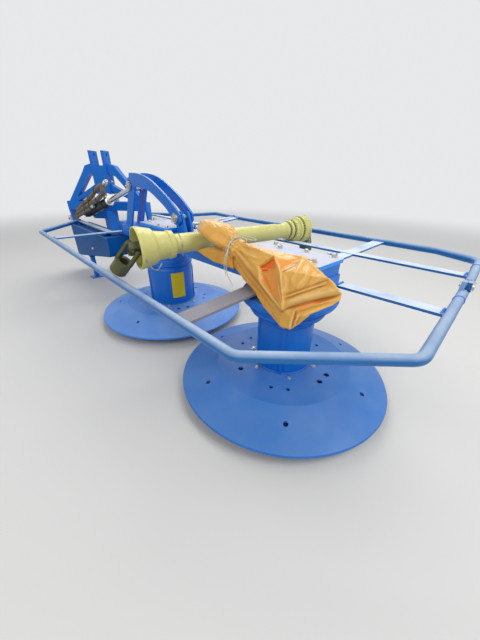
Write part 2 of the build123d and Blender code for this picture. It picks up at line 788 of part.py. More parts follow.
CORES = [
    # name, joint it ends in, (distance along, radius) outline of its bar or tube
    ("pto_core_outer", "a", [(50, 0), (50, 17), (600, 17), (600, 0)]),
    ("pto_core_inner", "b", [(360, 18), (360, 22), (END - 50, 22), (END - 50, 0),
                             (END - 110, 0), (END - 110, 18)]),
]
for name, end, outline in CORES:
    with BuildPart() as core:
        add(turned(outline))
        add(inner_yokes[end])
    keep(core.part, name)

# guards: a wide cone on the outer tube, a ribbed one on the tube that slides in it
BEARING = 0.3
GUARD_R = 37.0
INNER_R = 33.4
SEAT_R = 50.0
SHAFT_PIECES = [
    # name, (distance along, radius) outline
    ("pto_guard_wide", [
        (0, 75), (8, 76), (58, 65), (68, 55), (114, 49), (118, 53), (136, 51), (141, 43), (148, GUARD_R),
        (655, GUARD_R), (655, GUARD_R - 3), (146, GUARD_R - 3), (136, 44), (112, 45), (90, 48),
        (90, 17 + BEARING), (82, 17 + BEARING), (82, 49), (66, 51), (55, 61), (0, 71),
    ]),
    ("pto_guard_narrow", [
        (360, INNER_R), (END - 143, INNER_R), (END - 133, 38), (END - 122, 40), (END - 120, 35),
        (END - 112, 36), (END - 110, 44), (END - 98, 46), (END - 96, 42), (END - 88, 43),
        (END - 86, SEAT_R), (END - 62, SEAT_R), (END - 58, 56), (END - 50, 58), (END - 48, 54),
        (END - 40, 56), (END - 38, 62), (END - 6, 65), (END, 64), (END, 60), (END - 38, 57),
        (END - 42, 51), (END - 52, 50), (END - 58, 44), (END - 88, 38), (END - 108, 33),
        (END - 112, 22 + BEARING), (END - 120, 22 + BEARING), (END - 122, 31), (END - 143, 30.4),
        (360, 30.4),
    ]),
]
for name, outline in SHAFT_PIECES:
    piece = turned(outline)
    keep(piece, name)

# folded canvas cover: tied round the shaft, drawn out over the outer gear housing and down its rear
COVER_SECTIONS = [
    # place along x, then (y, z): inner end, lid edge, lower inner, lower outer, shoulder, top
    (45, [(40, 474), (-40, 474), (-52, 478), (-60, 500), (-40, 548), (40, 548)]),
    (200, [(30, 474), (-66, 474), (-90, 464), (-108, 472), (-62, 538), (24, 538)]),
    (258, [(20, 521), (-81, 521), (-116, 442), (-136, 450), (-88, 558), (16, 553)]),
    (450, [(12, 521), (-81, 521), (-167, 415), (-184, 402), (-108, 556), (6, 545)]),
    (560, [(-45, 521), (-81, 521), (-165, 356), (-190, 362), (-112, 545), (-45, 548)]),
    (640, [(-72, 470), (-85, 462), (-98, 450), (-112, 458), (-102, 486), (-78, 490)]),
]
COVER_GAP = 0.3
LOBE_R = 64.0
with BuildPart() as cover:
    for place, outline in COVER_SECTIONS:
        with BuildSketch(Plane.YZ.offset(place)):
            with BuildLine():
                Polyline(*outline, close=True)
            make_face()
    loft(ruled=True)
    with BuildSketch(LAY.offset(230)):
        with Locations(LAY.to_local_coords(SHAFT_A + Vector(0, 0, 14))):
            Circle(LOBE_R)
    extrude(amount=190)
    with BuildSketch(LAY.offset(150)):
        Circle(GUARD_R + COVER_GAP)
    extrude(amount=420, mode=Mode.SUBTRACT)
    for x0, x1, half, low, high in (
        (BEAM_X0, BEAM_X1, BEAM_HALF, BEAM_Z0, BEAM_Z1),
        (GEAR_BOXES[0][0], GEAR_BOXES[0][1], LID_HALF, BEAM_Z1, LID_TOP),
    ):
        with BuildSketch(Plane.XY.offset(low - COVER_GAP)):
            with Locations(((x0 + x1) / 2, 0)):
                Rectangle(x1 - x0 + 2 * COVER_GAP, 2 * (half + COVER_GAP))
        extrude(amount=high - low + 2 * COVER_GAP, mode=Mode.SUBTRACT)
keep(cover.part, "canvas_cover")

# the shared frame starts on the ground under the middle of the whole machine
boxes = [part.bounding_box() for part in pieces.values()]
middle = Vector(
    (min(box.min.X for box in boxes) + max(box.max.X for box in boxes)) / 2,
    (min(box.min.Y for box in boxes) + max(box.max.Y for box in boxes)) / 2,
    0,
)
for name, part in pieces.items():
    export_step(part.moved(Location(middle * -1)), "parts/" + name + ".step")
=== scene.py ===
"""Drum mower parked on a workshop floor: paint, fasteners, hoses, twine and the folded cover.

Metres, +X to the outer end, +Y the way it travels, +Z up. Places are written from the point on
the ground midway between the drum axes, and at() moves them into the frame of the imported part.
"""
import math

import bmesh
import bpy
from mathutils import Matrix, Vector, noise
from mathutils.bvhtree import BVHTree


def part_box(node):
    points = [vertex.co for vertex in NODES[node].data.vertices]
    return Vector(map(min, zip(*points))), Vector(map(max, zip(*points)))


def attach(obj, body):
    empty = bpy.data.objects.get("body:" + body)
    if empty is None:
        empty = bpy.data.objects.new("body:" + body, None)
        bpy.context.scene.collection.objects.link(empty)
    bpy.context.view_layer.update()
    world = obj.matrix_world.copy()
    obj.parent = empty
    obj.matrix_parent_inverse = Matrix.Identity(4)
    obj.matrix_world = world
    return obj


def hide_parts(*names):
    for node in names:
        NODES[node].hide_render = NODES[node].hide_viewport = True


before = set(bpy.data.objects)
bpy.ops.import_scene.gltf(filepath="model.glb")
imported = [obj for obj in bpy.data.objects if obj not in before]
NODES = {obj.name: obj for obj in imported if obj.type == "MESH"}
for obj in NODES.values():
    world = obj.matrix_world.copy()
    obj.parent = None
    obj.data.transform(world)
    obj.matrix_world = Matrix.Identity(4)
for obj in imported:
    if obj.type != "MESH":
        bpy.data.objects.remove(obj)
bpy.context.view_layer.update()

# the point midway between the drum axes, in the part's frame
MIDWAY = (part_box("drum_outer")[0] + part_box("drum_outer")[1]
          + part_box("drum_inner")[0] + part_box("drum_inner")[1]) / 4
MIDWAY.z = 0.0


def at(x, y, z):
    return Vector((x, y, z)) + MIDWAY


def metres(millimetres):
    """Three lengths that a table gives in millimetres."""
    return Vector([v / 1000 for v in millimetres])


# the camera that took the photograph, worked out from the two disc rims
CAMERA_AT = at(0.9222, -0.7232, 0.7339)
CAMERA_RIGHT = Vector((0.6869, 0.7266, 0.0140))
CAMERA_UP = Vector((-0.3534, 0.3171, 0.8801))
FOCAL_PIXELS = 261.4
PHOTO_WIDTH = 480
PHOTO_HEIGHT = 640
SENSOR = 36.0

X = Vector((1.0, 0.0, 0.0))
Y = Vector((0.0, 1.0, 0.0))
Z = Vector((0.0, 0.0, 1.0))

# the drive shaft's two ends and its line, the drum axes, the tops of the lids and the beam
SHAFT_A = at(-0.025, -0.3395, 0.508)
SHAFT_B = at(0.115, 0.492, 0.512)
SHAFT_DIR = (SHAFT_B - SHAFT_A).normalized()
SHAFT_END = (SHAFT_B - SHAFT_A).length
DRUM_X = 0.418
LID_TOP = 0.520
BEAM_TOP = 0.472


def aim_camera():
    data = bpy.data.cameras.new("camera")
    data.sensor_width = SENSOR
    data.lens = SENSOR * FOCAL_PIXELS / PHOTO_HEIGHT
    data.clip_start = 0.02
    camera = bpy.data.objects.new("camera", data)
    bpy.context.scene.collection.objects.link(camera)
    back = CAMERA_RIGHT.cross(CAMERA_UP).normalized()
    up = back.cross(CAMERA_RIGHT).normalized()
    turn = Matrix((CAMERA_RIGHT.normalized(), up, back)).transposed()
    camera.matrix_world = Matrix.Translation(CAMERA_AT) @ turn.to_4x4()
    bpy.context.scene.camera = camera


# materials


def feed(node, inputs):
    """Link each input of a shader node to its source, or set it where the source is a value."""
    for name, source in inputs.items():
        socket = node.inputs[name]
        if isinstance(source, bpy.types.NodeSocket):
            node.id_data.links.new(source, socket)
        else:
            socket.default_value = (*source, 1.0) if socket.type == "RGBA" else source
    return node


def new_node(tree, kind, inputs):
    return feed(tree.nodes.new("ShaderNode" + kind), inputs)


def calculate(tree, operation, first, second):
    node = tree.nodes.new("ShaderNodeMath")
    node.operation = operation
    return feed(node, {0: first, 1: second}).outputs["Value"]


def shade(colour, share):
    """A darker tone of a colour."""
    return tuple(c * share for c in colour)


class Shader:
    """A principled material that is built up node by node."""

    def __init__(self, name, rough=0.5, metal=0.0, coat=0.0, specular=0.5):
        self.material = bpy.data.materials.new(name)
        self.material.use_nodes = True
        self.tree = self.material.node_tree
        self.bsdf = feed(self.tree.nodes["Principled BSDF"], {
            "Roughness": rough, "Metallic": metal, "Coat Weight": coat, "Specular IOR Level": specular})
        self.place = self.tree.nodes.new("ShaderNodeTexCoord").outputs["Object"]

    def noise(self, scale, detail=4.0, rough=0.55):
        return new_node(self.tree, "TexNoise", {
            "Scale": scale, "Detail": detail, "Roughness": rough, "Vector": self.place}).outputs["Fac"]

    def levels(self, source, low, high, to_low, to_high):
        return new_node(self.tree, "MapRange", {
            "From Min": low, "From Max": high, "To Min": to_low, "To Max": to_high,
            "Value": source}).outputs["Result"]

    def mix(self, amount, first, second):
        node = self.tree.nodes.new("ShaderNodeMix")
        node.data_type = "RGBA"
        return feed(node, {"Factor": amount, "A": first, "B": second}).outputs["Result"]

    def cloudy(self, colour, share, scale, detail=4.0):
        """The colour with patches in a darker tone."""
        return self.mix(self.noise(scale, detail), colour, shade(colour, share))

    def up_facing(self, low=0.3, high=0.95):
        normal = self.tree.nodes.new("ShaderNodeNewGeometry").outputs["Normal"]
        parts = new_node(self.tree, "SeparateXYZ", {"Vector": normal}).outputs
        return self.levels(parts["Z"], low, high, 0.0, 1.0)

    def times(self, first, second):
        return calculate(self.tree, "MULTIPLY", first, second)

    def inside_box(self, low, high):
        """1 within the box low to high, which may leave an axis open with None, and 0 outside it."""
        parts = new_node(self.tree, "SeparateXYZ", {"Vector": self.place}).outputs
        result = None
        for axis, least, most in zip("XYZ", low, high):
            for operation, limit in (("GREATER_THAN", least), ("LESS_THAN", most)):
                if limit is not None:
                    test = calculate(self.tree, operation, parts[axis], limit)
                    result = self.times(result, test) if result else test
        return result

    def plug(self, socket, source):
        feed(self.bsdf, {socket: source})

    def worn(self, scale, detail, low, high):
        """Roughness that wanders between low and high."""
        self.plug("Roughness", self.levels(self.noise(scale, detail), 0.3, 0.7, low, high))

    def bump(self, height, strength, distance=0.001):
        node = new_node(self.tree, "Bump", {
            "Strength": strength, "Distance": distance, "Height": height})
        below = self.bsdf.inputs["Normal"]
        if below.is_linked:
            feed(node, {"Normal": below.links[0].from_socket})
        self.plug("Normal", node.outputs["Normal"])

    def weave(self, turns, scale, strength, distance):
        """Raised threads, one run of them for each turn."""
        for turn in turns:
            turned = new_node(self.tree, "Mapping", {"Rotation": turn, "Vector": self.place})
            wave = new_node(self.tree, "TexWave", {"Scale": scale, "Vector": turned.outputs["Vector"]})
            self.bump(wave.outputs["Fac"], strength, distance)


# painted highlight on the cloth's fold ridges and painted shade in its fold valleys
LIT_FOLD = (0.95, 0.72, 0.33)
SHADED_FOLD = (0.38, 0.115, 0.006)
# painted deep orange shade in the cloth's recesses and its pocket
RECESS_SHADE_COLOUR = (0.92, 0.19, 0.006)


def powder_coat(name, colour, dust_colour, dust, rough=0.32, gloss=1.0, other=None):
    """Stoved paint with orange peel, slight shade changes and a paler coat on what faces up: dust, and
    where it is heavy on the guard's tubes and bars, painted highlight on their tops.

    other is a second colour and its box, for a bar painted unlike the rest of its node.
    """
    shader = Shader(name, rough=rough, coat=0.06 * gloss, specular=0.26 * gloss)
    shader.plug("Coat Roughness", 0.12)
    patches = shader.levels(shader.noise(9.0, 8.0), 0.3, 0.75, dust * 0.45, dust)
    # the pale coat on what faces up: dust, and on the guard's tubes and bars mostly painted highlight
    dust_and_top_light = shader.times(shader.up_facing(), patches)
    tone = shader.mix(dust_and_top_light, shader.cloudy(colour, 0.80, 3.5), dust_colour)
    if other:
        tone = shader.mix(shader.inside_box(other[1], other[2]), tone, other[0])
    shader.plug("Base Color", tone)
    shader.plug("Roughness", shader.levels(dust_and_top_light, 0.0, 0.6, rough, rough + 0.22))
    shader.bump(shader.noise(420.0, 2.0), 0.10, 0.0006)
    return shader.material


def bare_metal(name, colour, rough=0.35):
    shader = Shader(name, rough=rough, metal=1.0)
    shader.plug("Base Color", shader.cloudy(colour, 0.72, 26.0, 6.0))
    shader.worn(60.0, 5.0, rough - 0.08, rough + 0.16)
    shader.bump(shader.noise(240.0, 3.0), 0.15, 0.0005)
    return shader.material


def moulded(name, colour, rough=0.42):
    """Injection moulded guard plastic: faint flow marks and dusty scuffs."""
    shader = Shader(name, rough=rough, specular=0.45)
    patches = shader.levels(shader.noise(40.0, 9.0), 0.5, 0.72, 0.0, 0.45)
    scuffs = shader.times(shader.up_facing(0.2, 1.0), patches)
    scuffed = tuple(min(1.0, c * 1.5 + 0.08) for c in colour)
    shader.plug("Base Color", shader.mix(scuffs, shader.cloudy(colour, 0.78, 6.0), scuffed))
    shader.worn(30.0, 5.0, rough - 0.06, rough + 0.14)
    shader.bump(shader.noise(150.0, 4.0), 0.12, 0.0006)
    return shader.material


def coated_cloth(name, colour, deep):
    """Coated tarpaulin: close plain weave under a satin film, with tone changes and crazing.

    The mesh says how much painted deep orange shade each point has in the recesses and pocket, and how
    much painted highlight on fold ridges and painted shade in fold valleys.
    """
    shader = Shader(name, rough=0.36, coat=0.22, specular=0.45)
    shader.plug("Sheen Weight", 0.12)
    amounts = {}
    for attribute in ("inside", "painted_fold_light"):
        node = shader.tree.nodes.new("ShaderNodeAttribute")
        node.attribute_name = attribute
        amounts[attribute] = node.outputs["Fac"]
    tone = shader.mix(shader.levels(shader.noise(5.0, 6.0), 0.3, 0.7, 0.0, 1.0), colour, deep)
    # painted highlight on the fold ridges, painted shade in the fold valleys
    for end, most, fold_colour in ((1.0, 0.62, LIT_FOLD), (-1.0, 0.80, SHADED_FOLD)):
        tone = shader.mix(shader.levels(amounts["painted_fold_light"], 0.0, end, 0.0, most), tone, fold_colour)
    # painted deep orange shade in the recesses and the pocket
    shader.plug("Base Color", shader.mix(amounts["inside"], tone, RECESS_SHADE_COLOUR))
    shader.worn(18.0, 6.0, 0.30, 0.52)
    shader.weave(((0.0, 0.0, 0.0), (0.0, 0.0, math.pi / 2)), 260.0, 0.10, 0.0004)
    shader.bump(shader.noise(22.0, 9.0, 0.65), 0.35, 0.004)
    return shader.material


def twisted_fibre(name, colour):
    shader = Shader(name, rough=0.85, specular=0.2)
    shader.plug("Base Color", shader.cloudy(colour, 0.55, 300.0, 3.0))
    shader.bump(shader.noise(700.0, 3.0), 0.6, 0.001)
    return shader.material


def woven_sleeve(name, colour, dust_colour):
    """The dusty woven sleeve drawn over a hydraulic hose."""
    shader = Shader(name, rough=0.82, specular=0.2)
    shader.plug("Sheen Weight", 0.2)
    dusty = shader.levels(shader.noise(60.0, 8.0), 0.55, 0.75, 0.0, 0.7)
    shader.plug("Base Color", shader.mix(dusty, shader.cloudy(colour, 0.34, 24.0, 6.0), dust_colour))
    quarter = math.pi / 2
    shader.weave(((0.0, 0.0, 0.0), (0.0, quarter, 0.0), (quarter, 0.0, quarter)), 130.0, 0.25, 0.0006)
    shader.bump(shader.noise(55.0, 5.0), 0.5, 0.004)
    return shader.material


def black_rubber(name, colour, worn_colour):
    shader = Shader(name, rough=0.48, specular=0.35)
    shader.plug("Base Color", shader.mix(shader.noise(14.0, 6.0), colour, worn_colour))
    shader.worn(35.0, 5.0, 0.36, 0.62)
    shader.bump(shader.noise(500.0, 2.0), 0.25, 0.0006)
    return shader.material


BLUE = (0.006, 0.175, 0.680)
BLUE_TUBE = (0.020, 0.165, 0.46)
DUST = (0.30, 0.36, 0.42)
GREY_BAR = ((0.215, 0.205, 0.235),
            (*at(0.315, -0.402, 0.0)[:2], None), (*at(0.408, -0.058, 0.0)[:2], None))
FINISHES = {
    # maker, then its colours, amount of dust and painted top highlight, roughness and gloss
    "blue_paint": (powder_coat, BLUE, DUST, 0.14),
    "blue_drum": (powder_coat, (0.005, 0.160, 0.640), DUST, 0.25, 0.24),
    # the belt housing: the blue paint made darker, painted shade on its face
    "blue_housing": (powder_coat, (0.003, 0.100, 0.345), DUST, 0.14, 0.44, 0.2),
    # the gear lids: the blue paint made brighter, painted light on their sides, and a heavy pale coat
    # on what faces up
    "blue_lid": (powder_coat, (0.008, 0.32, 1.0), (0.58, 0.58, 0.66), 1.35, 0.30),
    # the guard's tubes and bars: a heavy pale coat on what faces up, partly dust and partly painted
    # highlight
    "blue_tube": (powder_coat, BLUE_TUBE, (0.52, 0.60, 0.68), 0.85, 0.28),
    "blue_bar": (powder_coat, BLUE_TUBE, (0.64, 0.72, 0.82), 1.30, 0.30, 1.0, GREY_BAR),
    "blue_disc": (powder_coat, (0.010, 0.165, 0.58), (0.22, 0.33, 0.50), 0.40, 0.30),
    # the inner disc: a lighter copy of the disc paint, painted light
    "blue_disc_inner": (powder_coat, (0.018, 0.215, 0.76), (0.34, 0.48, 0.70), 0.55, 0.30),
    "steel": (bare_metal, (0.52, 0.53, 0.55), 0.38),
    "zinc": (bare_metal, (0.66, 0.66, 0.62), 0.30),
    "chrome": (bare_metal, (0.78, 0.79, 0.80), 0.14),
    "black_paint": (powder_coat, (0.012, 0.012, 0.013), DUST, 0.35, 0.34),
    "yellow_plastic": (moulded, (0.69, 0.645, 0.215)),
    "dark_plastic": (moulded, (0.10, 0.09, 0.03), 0.55),
    "olive_paint": (powder_coat, (0.110, 0.118, 0.044), DUST, 0.22, 0.38),
    "canvas": (coated_cloth, (0.81, 0.44, 0.070), (0.62, 0.27, 0.020)),
    "twine": (twisted_fibre, (0.86, 0.77, 0.58)),
    "rubber": (black_rubber, (0.018, 0.018, 0.019), (0.05, 0.048, 0.045)),
    "woven_sleeve": (woven_sleeve, (0.205, 0.160, 0.112), (0.42, 0.37, 0.30)),
    "yellow_plate": (powder_coat, (0.85, 0.62, 0.015), DUST, 0.10, 0.30),
}
MATERIALS = {name: make(name, *looks) for name, (make, *looks) in FINISHES.items()}
NODES_IN = {
    # which nodes of the part have each finish; all others are in blue_paint
    "steel": ["hitch_pins", "knife_pins_outer", "knife_pins_inner", "knives_outer", "knives_inner",
              "spindle_outer", "spindle_inner", "input_shaft", "pto_core_inner", "skid_outer",
              "skid_inner"],
    "zinc": ["arch_pin", "eye_pin", "fold_pins", "swing_collar"],
    "blue_drum": ["drum_outer", "drum_inner"],
    "blue_lid": ["gear_lids"],
    "blue_tube": ["guard_rear_tube", "guard_front_tube", "guard_side_tube"],
    "blue_bar": ["guard_rear_bars", "guard_front_bars"],
    "blue_disc": ["disc_outer"],
    "blue_disc_inner": ["disc_inner"],
    "blue_housing": ["belt_housing"],
    "black_paint": ["cylinder_barrel"],
    "chrome": ["cylinder_rod"],
    "yellow_plastic": ["pto_guard_wide", "pto_guard_narrow"],
    "olive_paint": ["pto_core_outer", "pto_cross_a", "pto_cross_b", "pto_yoke_a", "pto_yoke_b"],
}


def dress_frame():
    chosen = {node: finish for finish, names in NODES_IN.items() for node in names}
    for node, piece in NODES.items():
        piece.data.materials.clear()
        piece.data.materials.append(MATERIALS[chosen.get(node, "blue_paint")])


# floor and light

BACKDROP = (0.80, 0.81, 0.82)


def lay_floor():
    """A pale floor; far from the machine it turns into the backdrop's own colour."""
    bpy.ops.mesh.primitive_plane_add(size=60.0, location=(0.0, 0.0, 0.0))
    floor = bpy.context.object
    floor.name = "floor"
    shader = Shader("floor_pale", rough=0.8, specular=0.2)
    shader.plug("Base Color", shader.cloudy((0.69, 0.675, 0.65), 0.94, 1.2, 6.0))
    nodes = shader.tree.nodes
    away = nodes.new("ShaderNodeVectorMath")
    away.operation = "LENGTH"
    feed(away, {0: shader.place})
    far = nodes.new("ShaderNodeMapRange")
    far.interpolation_type = "SMOOTHSTEP"
    feed(far, {"From Min": 2.2, "From Max": 7.0, "Value": away.outputs["Value"]})
    ray = nodes.new("ShaderNodeLightPath").outputs
    seen = shader.times(far.outputs["Result"], ray["Is Camera Ray"])
    glow = new_node(shader.tree, "Emission", {"Color": BACKDROP})
    blend = new_node(shader.tree, "MixShader", {
        "Fac": seen, 1: shader.bsdf.outputs["BSDF"], 2: glow.outputs["Emission"]})
    feed(nodes["Material Output"], {"Surface": blend.outputs["Shader"]})
    floor.data.materials.append(shader.material)


def light_room():
    """The backdrop, a soft light from all round that shows only on what it falls on, and lamps."""
    world = bpy.data.worlds.new("world")
    bpy.context.scene.world = world
    world.use_nodes = True
    tree = world.node_tree
    ambient = feed(tree.nodes["Background"], {"Color": (0.86, 0.90, 0.95), "Strength": 0.55})
    backdrop = new_node(tree, "Background", {"Color": BACKDROP, "Strength": 1.0})
    ray = tree.nodes.new("ShaderNodeLightPath").outputs
    seen = calculate(tree, "MAXIMUM", ray["Is Camera Ray"], ray["Is Transmission Ray"])
    seen = calculate(tree, "MAXIMUM", seen, ray["Is Glossy Ray"])
    blend = new_node(tree, "MixShader", {
        "Fac": seen, 1: ambient.outputs["Background"], 2: backdrop.outputs["Background"]})
    feed(tree.nodes["World Output"], {"Surface": blend.outputs["Shader"]})
    lamps = [
        # name, place, aim, size, watts
        ("roof_left", (-1.8, 1.6, 3.2), (0.0, 0.0, 0.2), 2.4, 70.0),
        ("roof_right", (2.6, 0.6, 3.0), (0.2, 0.0, 0.2), 2.0, 60.0),
        ("front_fill", (1.0, -3.2, 2.6), (0.0, 0.0, 0.3), 2.6, 38.0),
    ]
    for name, place, aim, size, watts in lamps:
        data = bpy.data.lights.new(name, "AREA")
        data.size = size
        data.energy = watts
        lamp = bpy.data.objects.new(name, data)
        lamp.location = at(*place)
        lamp.rotation_mode = "QUATERNION"
        lamp.rotation_quaternion = (Vector(aim) - Vector(place)).to_track_quat("-Z", "Y")
        bpy.context.scene.collection.objects.link(lamp)
    bpy.context.scene.view_settings.view_transform = "Standard"


# mesh helpers

WASHER = 0.0020  # thickness of the washer under a bolt's head
SHARP_ANGLE = math.radians(38)


def circle(count):
    """Evenly spaced angles once round."""
    return [2.0 * math.pi * k / count for k in range(count)]


def square_to(direction):
    """Two unit vectors at right angles to a unit vector and to each other."""
    first = direction.orthogonal().normalized()
    return first, direction.cross(first)


def make_piece(name, verts, faces, material, body):
    mesh = bpy.data.meshes.new(name)
    mesh.from_pydata([tuple(v) for v in verts], [], faces)
    mesh.update()
    mesh.shade_smooth()
    mesh.materials.append(MATERIALS[material])
    piece = bpy.data.objects.new(name, mesh)
    bpy.context.scene.collection.objects.link(piece)
    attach(piece, body)
    return piece


class Batch:
    """Like small parts of one body and one material, gathered into a single mesh."""

    def __init__(self, name, material, body):
        self.name = name
        self.material = material
        self.body = body
        self.verts = []
        self.faces = []

    def add(self, verts, faces):
        start = len(self.verts)
        self.verts.extend(verts)
        self.faces.extend([tuple(start + i for i in face) for face in faces])

    def tube(self, points, radius, sides=10, closed=False, squash=1.0):
        """A round bar along points; radius may be a list with one value for each point."""
        count = len(points)
        radii = radius if isinstance(radius, list) else [radius] * count
        across = Z
        verts = []
        for i, point in enumerate(points):
            before = points[i - 1] if i or closed else point
            after = points[(i + 1) % count] if i < count - 1 or closed else point
            along = (after - before).normalized()
            first = along.cross(across)
            if first.length < 1e-3:
                first = along.cross(Vector((1.0, 0.3, 0.0)))
            first.normalize()
            across = first.cross(along).normalized()
            for t in circle(sides):
                verts.append(point + radii[i] * (math.cos(t) * first + squash * math.sin(t) * across))
        faces = []
        for i in range(count if closed else count - 1):
            for k in range(sides):
                a = i * sides + k
                b = i * sides + (k + 1) % sides
                c = ((i + 1) % count) * sides
                faces.append((a, b, c + (k + 1) % sides, c + k))
        if not closed:
            faces.append(tuple(reversed(range(sides))))
            faces.append(tuple(range((count - 1) * sides, count * sides)))
        self.add(verts, faces)

    def turned(self, outline, start, direction, sides=32, bore=None):
        """Turn an outline of (distance along, radius) about a line, and close it or give it a bore."""
        if bore:
            outline = [(outline[0][0], bore), *outline, (outline[-1][0], bore)]
        along = direction.normalized()
        first, second = square_to(along)
        count = len(outline)
        verts = []
        for t in circle(sides):
            out = math.cos(t) * first + math.sin(t) * second
            verts.extend(start + along * s + out * r for s, r in outline)
        faces = []
        for k in range(sides):
            a = k * count
            b = ((k + 1) % sides) * count
            faces.extend((a + i, b + i, b + (i + 1) % count, a + (i + 1) % count) for i in range(count))
        self.add(verts, faces)

    def hex_bolt(self, seat, out, size=0.012, height=0.008, turn=0.0):
        """Chamfered hexagon head with a washer under it; the bolt's thread is hidden in the work."""
        out = out.normalized()
        first, second = square_to(out)
        self.turned([(-0.0004, size * 0.86), (0.0016, size * 0.86), (WASHER, size * 0.80)],
                    seat, out, 20, size * 0.3)
        base = seat + out * WASHER
        verts = []
        for level, share in ((0.0, 1.0), (height * 0.82, 1.0), (height, 0.86)):
            for k in range(6):
                t = turn + math.pi * k / 3.0
                reach = size * 0.58 * share
                verts.append(base + out * level + reach * (math.cos(t) * first + math.sin(t) * second))
        faces = [(i * 6 + k, i * 6 + (k + 1) % 6, (i + 1) * 6 + (k + 1) % 6, (i + 1) * 6 + k)
                 for i in range(2) for k in range(6)]
        faces += [(12, 13, 14, 15, 16, 17), (5, 4, 3, 2, 1, 0)]
        self.add(verts, faces)

    def block(self, centre, size, turn, chamfer):
        """A block with chamfered corners along its thickness and both faces."""
        hx, hy, hz = (s / 2 for s in size)
        c = chamfer
        verts = []
        for z, inset in ((-hz, c), (-hz + c, 0.0), (hz - c, 0.0), (hz, c)):
            x = hx - inset
            y = hy - inset
            corners = ((x - c, y), (x, y - c), (x, c - y), (x - c, -y),
                       (c - x, -y), (-x, c - y), (-x, y - c), (c - x, y))
            verts.extend(centre + turn @ Vector((px, py, z)) for px, py in corners)
        faces = [(i * 8 + k, i * 8 + (k + 7) % 8, (i + 1) * 8 + (k + 7) % 8, (i + 1) * 8 + k)
                 for i in range(3) for k in range(8)]
        faces += [tuple(range(8)), tuple(reversed(range(24, 32)))]
        self.add(verts, faces)

    def weld(self, points, radius=0.004, ripple=0.0045):
        """A weld bead: a ridge with a ripple for each step of the rod."""
        path = spread(points, 0.0015)
        radii = []
        gone = 0.0
        for i, point in enumerate(path):
            if i:
                gone += (point - path[i - 1]).length
            swell = 0.86 + 0.20 * abs(math.sin(math.pi * gone / ripple))
            ends = min(1.0, (i + 2) / 5, (len(path) - i + 1) / 5)
            radii.append(radius * swell * ends * (1.0 + 0.12 * noise.noise(point * 90.0)))
        self.tube(path, radii, 8)

    def done(self):
        piece = make_piece(self.name, self.verts, self.faces, self.material, self.body)
        piece.data.set_sharp_from_angle(angle=SHARP_ANGLE)


def spread(points, step):
    """The same line with points every step."""
    result = [points[0].copy()]
    for start, end in zip(points, points[1:]):
        count = max(1, int((end - start).length / step))
        result.extend(start.lerp(end, (k + 1) / count) for k in range(count))
    return result


def smooth_line(points, per_span=8, closed=False):
    """Catmull-Rom line through the points."""
    count = len(points)
    result = []
    for i in range(count if closed else count - 1):
        near = (i - 1, i, i + 1, i + 2)
        a, b, c, d = (points[j % count] if closed else points[min(max(j, 0), count - 1)] for j in near)
        for k in range(per_span):
            t = k / per_span
            result.append(0.5 * ((2 * b) + (c - a) * t + (2 * a - 5 * b + 4 * c - d) * t ** 2
                                 + (3 * b - a - 3 * c + d) * t ** 3))
    if not closed:
        result.append(points[-1].copy())
    return result


# the folded cover: layers of a tied-up tarpaulin, drawn out over the gear housing's edge

FOLD = {
    # name: corner of a fold, in millimetres
    "neck_back": (262, -66, 550), "neck_top": (250, -100, 550), "neck_mid": (243, -121, 512),
    "neck_low": (229, -117, 503), "back": (490, -58, 540), "right": (617, -117, 512),
    "flap_top": (433, -120, 538), "flap_corner": (388, -143, 497), "pocket": (474, -136, 506),
    "line": (424, -163, 455), "line_low": (528, -190, 410), "vee": (528, -187, 420),
    "valley": (521, -172, 446), "corner": (648, -95, 474), "roll_low": (532, -187, 413),
    "corner_low": (652, -102, 460), "edge_right": (601, -151, 418), "edge_mid": (576, -170, 378),
    "tip": (559, -182, 360), "pleat": (556, -176, 398), "edge_low": (520, -186, 360),
    "edge_left": (455, -184, 400), "edge_up": (390, -167, 431), "edge_top": (272, -141, 466),
    "strip_low": (160, -136, 464), "strip_tip": (20, -118, 478), "strip_top": (104, -108, 504),
    "strip_up": (205, -106, 519), "edge_far": (639, -118, 443),
}
LAYERS = [
    # depth behind its face and how far the face is set back, in millimetres, and its corners
    (11, 0, ("neck_top", "flap_top", "flap_corner", "line", "neck_mid")),
    (14, 3, ("flap_corner", "pocket", "vee", "line_low", "line")),
    (4, 0, ("flap_top", "pocket", "valley", "vee")),
    (18, 0, ("pocket", "back", "right", "valley")),
    (22, 3, ("valley", "right", "corner", "roll_low", "vee")),
    (14, 8, ("roll_low", "corner_low", "edge_far", "edge_right", "pleat")),
    (12, 5, ("roll_low", "pleat", "tip", "edge_low", "line_low")),
    (10, 8, ("pleat", "edge_right", "edge_mid", "tip")),
    (18, 13, ("neck_mid", "line", "line_low", "edge_low", "edge_left", "edge_up", "edge_top",
              "neck_low")),
    (8, 3, ("edge_top", "strip_low", "strip_tip", "strip_top", "strip_up", "neck_mid")),
    (16, 12, ("neck_back", "back", "pocket", "flap_top", "neck_top")),
    (20, 11, ("flap_top", "flap_corner", "pocket")),
    (30, 16, ("neck_top", "back", "right", "pleat", "edge_low", "edge_left", "neck_low")),
    (10, 10, ("vee", "corner", "corner_low", "edge_far", "edge_right", "edge_mid", "tip", "edge_low")),
]
LOBE = [
    # centre, direction of the width, half width and half thickness; lengths in millimetres
    ((268, -106, 522), (0.33, 0.66, 0.68), 36, 16),
    ((240, -103, 530), (0.33, 0.66, 0.68), 29, 15),
    ((222, -108, 544), (0.22, 0.78, 0.58), 39, 22),
    ((184, -111, 560), (0.12, 0.90, 0.42), 50, 30),
    ((136, -104, 566), (0.05, 1.00, 0.16), 51, 33),
    ((94, -91, 568), (0.05, 1.00, 0.05), 49, 33),
    ((62, -80, 568), (0.05, 1.00, 0.0), 42, 29),
    ((42, -73, 566), (0.05, 1.00, 0.0), 28, 18),
]
